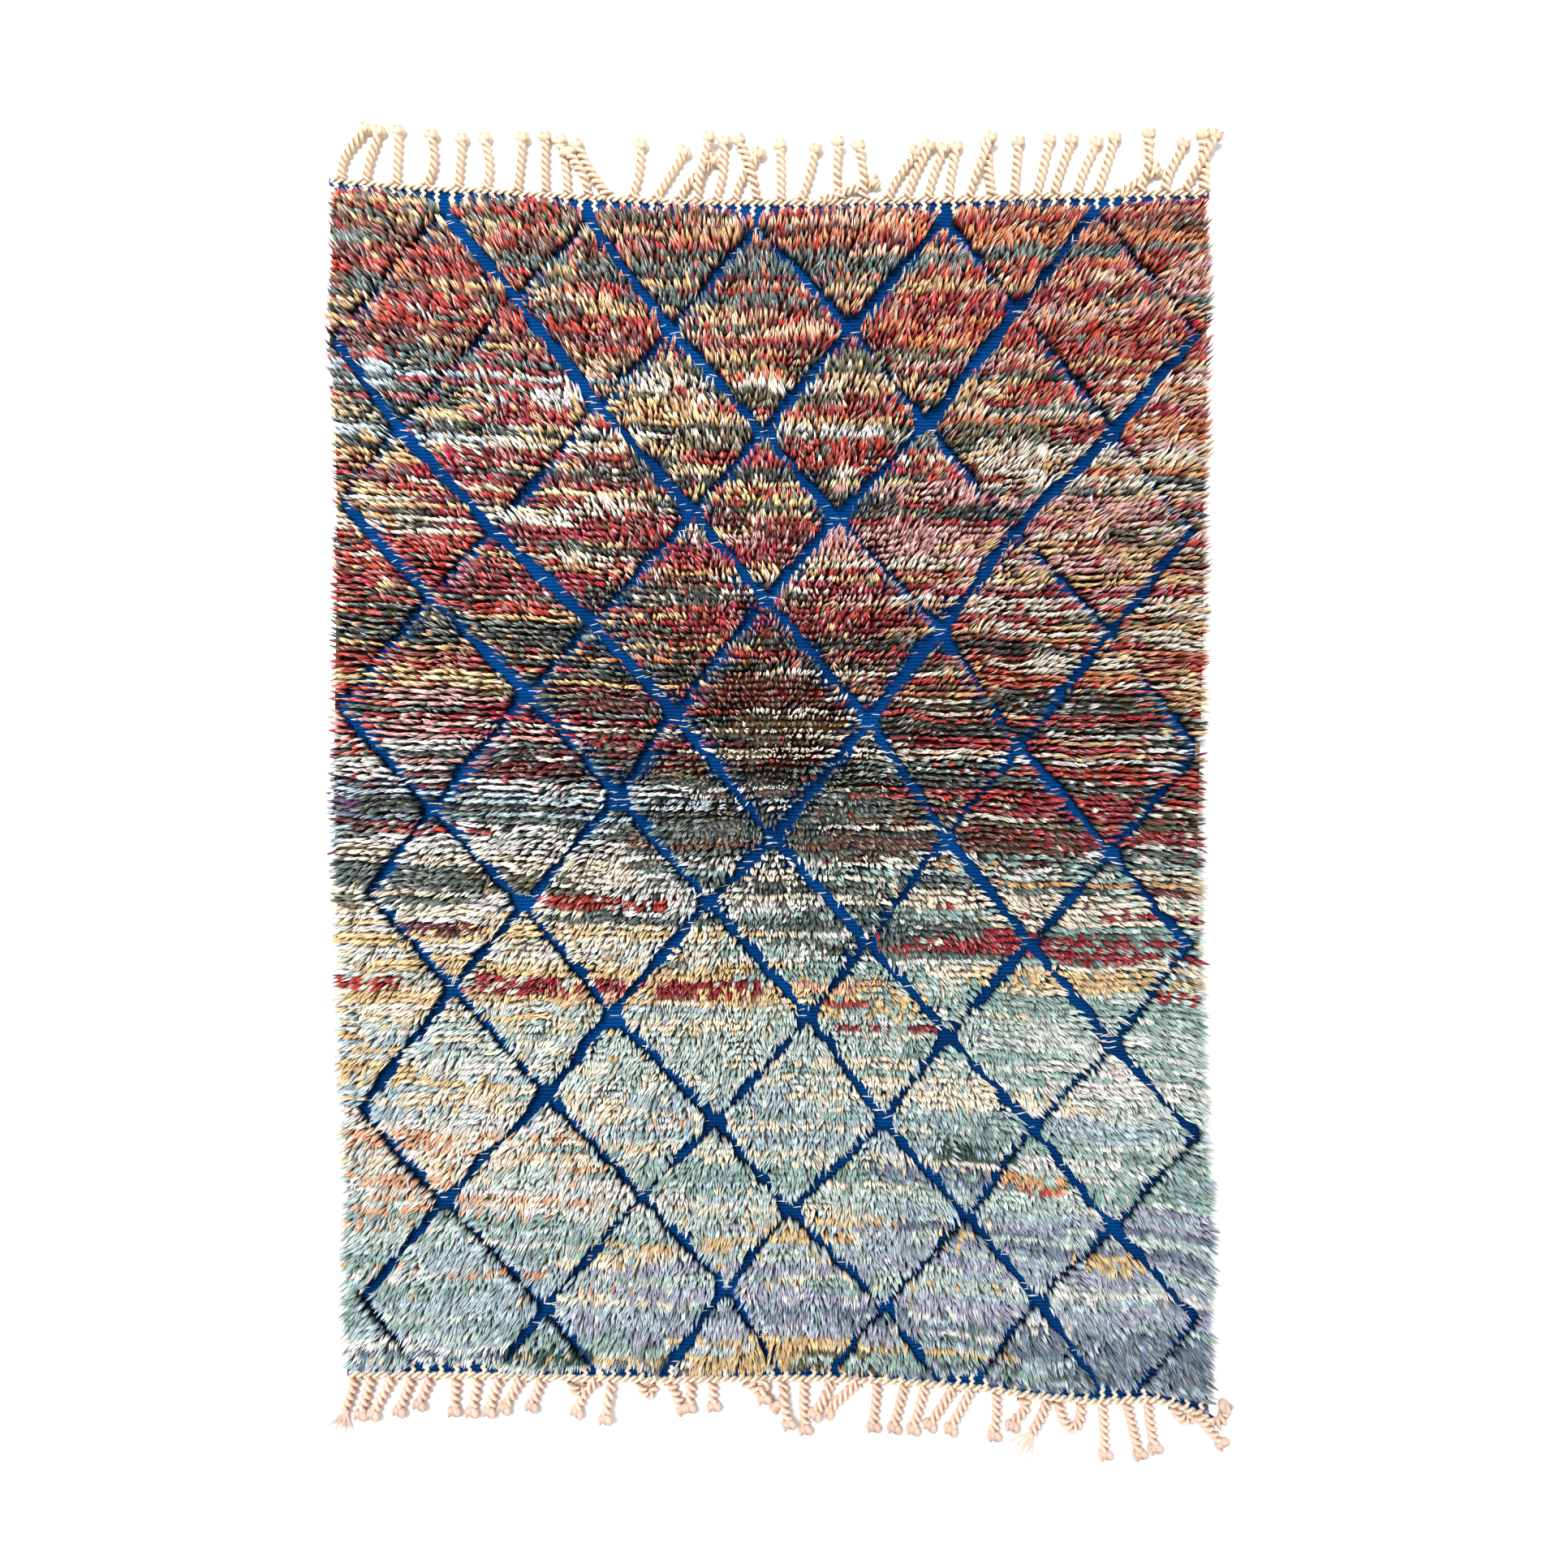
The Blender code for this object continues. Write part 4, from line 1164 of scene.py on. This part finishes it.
def build_band(name, header, end, material):
    """The blue strip under a twined line."""
    x = np.linspace(*reach_of(header), BAND_STATIONS)
    outer_y = edge_at(header, x) - end * BAND_INSET[0]
    inner_y = edge_at(header, x) - end * (HEADER_WIDTH + PIECE_GAP + BAND_INSET[1])
    count = len(x)
    rows = []
    for y, z in ((outer_y, 0.0), (inner_y, 0.0), (inner_y, BAND_TOP), (outer_y, BAND_TOP)):
        rows.append(np.column_stack((x, y, np.full(count, z))))
    points = np.concatenate(rows)
    faces = []
    for side in range(4):
        after = (side + 1) % 4
        for step in range(count - 1):
            here, there = side * count + step, after * count + step
            faces.append([here, here + 1, there + 1, there])
    faces.append([0, count, 2 * count, 3 * count])
    faces.append([count - 1, 4 * count - 1, 3 * count - 1, 2 * count - 1])
    colours = np.tile(linear(WEFT_BLUE) * BAND_SHADE, (len(points), 1))
    return add_piece(name, points, faces, colours, material, "pile_wool")


def stitch(centre, size, tilt, colour):
    """One slanting stitch: a low rounded lump, longer than wide."""
    angles = np.arange(STITCH_SIDES) * TURN / STITCH_SIDES
    flat = np.column_stack((np.cos(angles) * size[0], np.sin(angles) * size[1]))
    rings = []
    for level, spread in STITCH_RINGS:
        rings.append(np.column_stack((flat * spread, np.full(STITCH_SIDES, level * size[2]))))
    points = np.concatenate(rings + [np.array(((0.0, 0.0, size[2]),))])
    turned = points.copy()
    turned[:, 0] = points[:, 0] * math.cos(tilt) - points[:, 1] * math.sin(tilt)
    turned[:, 1] = points[:, 0] * math.sin(tilt) + points[:, 1] * math.cos(tilt)
    here = np.arange(STITCH_SIDES)
    there = (here + 1) % STITCH_SIDES
    faces = []
    for start in range(0, len(points) - 1 - STITCH_SIDES, STITCH_SIDES):
        ring = np.column_stack((here, there, there + STITCH_SIDES, here + STITCH_SIDES))
        faces += (ring + start).tolist()
    last_ring = len(points) - 1 - STITCH_SIDES
    for one, other in zip(here + last_ring, there + last_ring):
        faces.append([int(one), int(other), len(points) - 1])
    faces.append(list(range(STITCH_SIDES))[::-1])
    return Part(turned + centre, faces, np.tile(colour, (len(points), 1)))


def build_columns(name, header, end, material):
    """Columns of slanting cream stitches that cross the blue end band."""
    dice = np.random.default_rng(COLUMN_SEED + end)
    parts = []
    low, high = reach_of(header)
    for middle in np.arange(low + COLUMNS_SHORT[0], high - COLUMNS_SHORT[1], COLUMN_PITCH):
        middle = middle + dice.normal(0, COLUMN_JITTER)
        edge = float(edge_at(header, middle))
        for number in range(STITCHES):
            side = 1 if number % 2 else -1
            inward = FIRST_STITCH + number * STITCH_STEP
            centre = np.array((middle + side * STITCH_SWAY, edge - end * inward, BAND_TOP + MM))
            size = np.array(STITCH_SIZE) * dice.uniform(*STITCH_SIZE_LUCK)
            tilt = side * end * STITCH_TILT + dice.normal(0, STITCH_TILT_LUCK)
            colour = linear(WARP_CREAM) * dice.uniform(*STITCH_SHADE)
            parts.append(stitch(centre, size, tilt, colour))
    return add_piece(name, *join_parts(parts), material, "fringe_wool")


def build_selvedge(name, table, side, material):
    """Overcast wraps along one long side, in the colours of the rows beside them."""
    dice = np.random.default_rng(WRAP_SEED + side)
    low, high = reach_of(table)
    y = np.arange(low + WRAPS_SHORT, high - WRAPS_SHORT, WRAP_PITCH / RINGS_IN_WRAP)
    x = edge_at(table, y) - side * WRAP_INSET
    line = np.column_stack((x, y, np.full(len(y), WRAP_RADIUS + WRAP_SWELL)))
    wrap = np.arange(len(y)) // RINGS_IN_WRAP
    swell = np.sin(np.arange(len(y)) % RINGS_IN_WRAP * math.pi / (RINGS_IN_WRAP - 1))
    radius = WRAP_RADIUS + WRAP_SWELL * (swell - 0.5)
    near_x = np.full(wrap[-1] + 1, edge_at(table, 0.0) * WRAP_DYE_AT)
    near_y = y[::RINGS_IN_WRAP][: wrap[-1] + 1]
    shade = YARN_LIGHT[dye(near_x, np.round(row_of(near_x, near_y)))]
    # Random tone, and on the right side painted shade that darkens the wraps
    light = dice.uniform(*WRAP_SHADE[side > 0], len(shade))[:, None]
    colours = np.repeat((shade * light)[wrap], WRAP_SIDES, axis=0)
    sideways, upward = frames_along(line)
    made = tube(line, sideways, upward, radius, WRAP_SIDES, linear(FRINGE_CREAM))
    return add_piece(name, made.points, made.faces, colours, material, "pile_wool")


def build_floor():
    """A wide pale floor with a very faint grain."""
    data = bpy.data.meshes.new("studio_floor")
    signs = ((-1, -1), (1, -1), (1, 1), (-1, 1))
    corners = [(x * FLOOR_HALF, y * FLOOR_HALF, 0.0) for x, y in signs]
    data.from_pydata(corners, [], [(0, 1, 2, 3)])
    floor = add_object("studio_floor", data)
    floor.location.z = -FLOOR_GAP
    material, tree = new_material("pale_floor")
    grain = add_node(tree, "TexNoise", {"Scale": 3.0})
    ramp = add_node(tree, "ValToRGB", {"Fac": grain.outputs["Fac"]})
    for element, grey in zip(ramp.color_ramp.elements, FLOOR_GREYS):
        element.color = (grey, grey, grey, 1.0)
    shader = tree.nodes["Principled BSDF"]
    set_inputs(tree, shader, {"Roughness": 0.9, "Base Color": ramp.outputs["Color"]})
    data.materials.append(material)


def build_lights():
    """Soft daylight: a bright even sky and one wide light high over the upper left side."""
    world = bpy.data.worlds.new("soft_sky")
    bpy.context.scene.world = world
    world.use_nodes = True
    sky = world.node_tree.nodes["Background"]
    sky.inputs["Color"].default_value = (1.0, 1.0, 1.0, 1.0)
    sky.inputs["Strength"].default_value = SKY_STRENGTH
    data = bpy.data.lights.new("key_light", "AREA")
    data.shape = "DISK"
    data.size = LIGHT_SIZE
    data.energy = LIGHT_POWER
    light = add_object("key_light", data)
    light.location = LIGHT_PLACE
    light.rotation_euler = (-Vector(LIGHT_PLACE)).to_track_quat("-Z", "Y").to_euler()
    bpy.context.scene.view_settings.view_transform = "Standard"


def build_camera():
    """A camera that looks straight down on the rug."""
    data = bpy.data.cameras.new("overhead_camera")
    data.lens = CAMERA_LENS
    data.shift_x, data.shift_y = CAMERA_SHIFT
    camera = add_object("overhead_camera", data)
    x, y = CAMERA_FOOT[0] + SHEET_SHIFT[0], CAMERA_FOOT[1] + SHEET_SHIFT[1]
    camera.location = (x, y, CAMERA_HEIGHT)
    bpy.context.scene.camera = camera


def build_rug():
    """The whole rug, laid flat: its pile and bed, ground, floats, sides, end bands and fringes."""
    pile_wool = yarn_material("dyed_pile", 700.0, (1.0, 1.0, 0.25), 0.0005, 0.95, 0.04, 0.78)
    cord_wool = yarn_material("cream_wool", 650.0, (1.0, 1.0, 1.0), 0.0008, 0.92, 0.05, 0.80)
    wrap_wool = yarn_material("overcast_wool", 800.0, (1.0, 1.0, 1.0), 0.0006, 0.95, 0.05, 0.75)
    weft = weave_material("blue_weft")
    pieces, bare_spots, bare_clearance = build_pile(pile_wool)
    pieces.append(build_bed(pile_wool))
    ground = build_ground(weft)
    pieces.append(build_floats(bare_spots, bare_clearance, cord_wool))
    for label, table, side in (("left", LEFT_SIDE, -1), ("right", RIGHT_SIDE, 1)):
        pieces.append(build_selvedge(f"selvedge_{label}", table, side, wrap_wool))
    ends = (("top", TOP_HEADER, 1), ("bottom", BOTTOM_HEADER, -1))
    for label, header, end in ends:
        pieces.append(build_band(f"end_band_{label}", header, end, weft))
    for label, header, end in ends:
        pieces.append(build_columns(f"stitches_{label}", header, end, cord_wool))
    build_fringe(
        "cords_top", "fringe_top", TOP_HEADER, TOP_CORDS, 1, FRINGE_CREAM, (), cord_wool
    )
    extra = [(route, False) for route in CURLED_CORDS]
    extra += [(route, True) for route in FRAYED_CORDS]
    build_fringe(
        "cords_bottom", "fringe_bottom", BOTTOM_HEADER, BOTTOM_CORDS, -1, FRINGE_PINK, extra,
        cord_wool,
    )


build_camera()
build_lights()
build_floor()
build_rug()
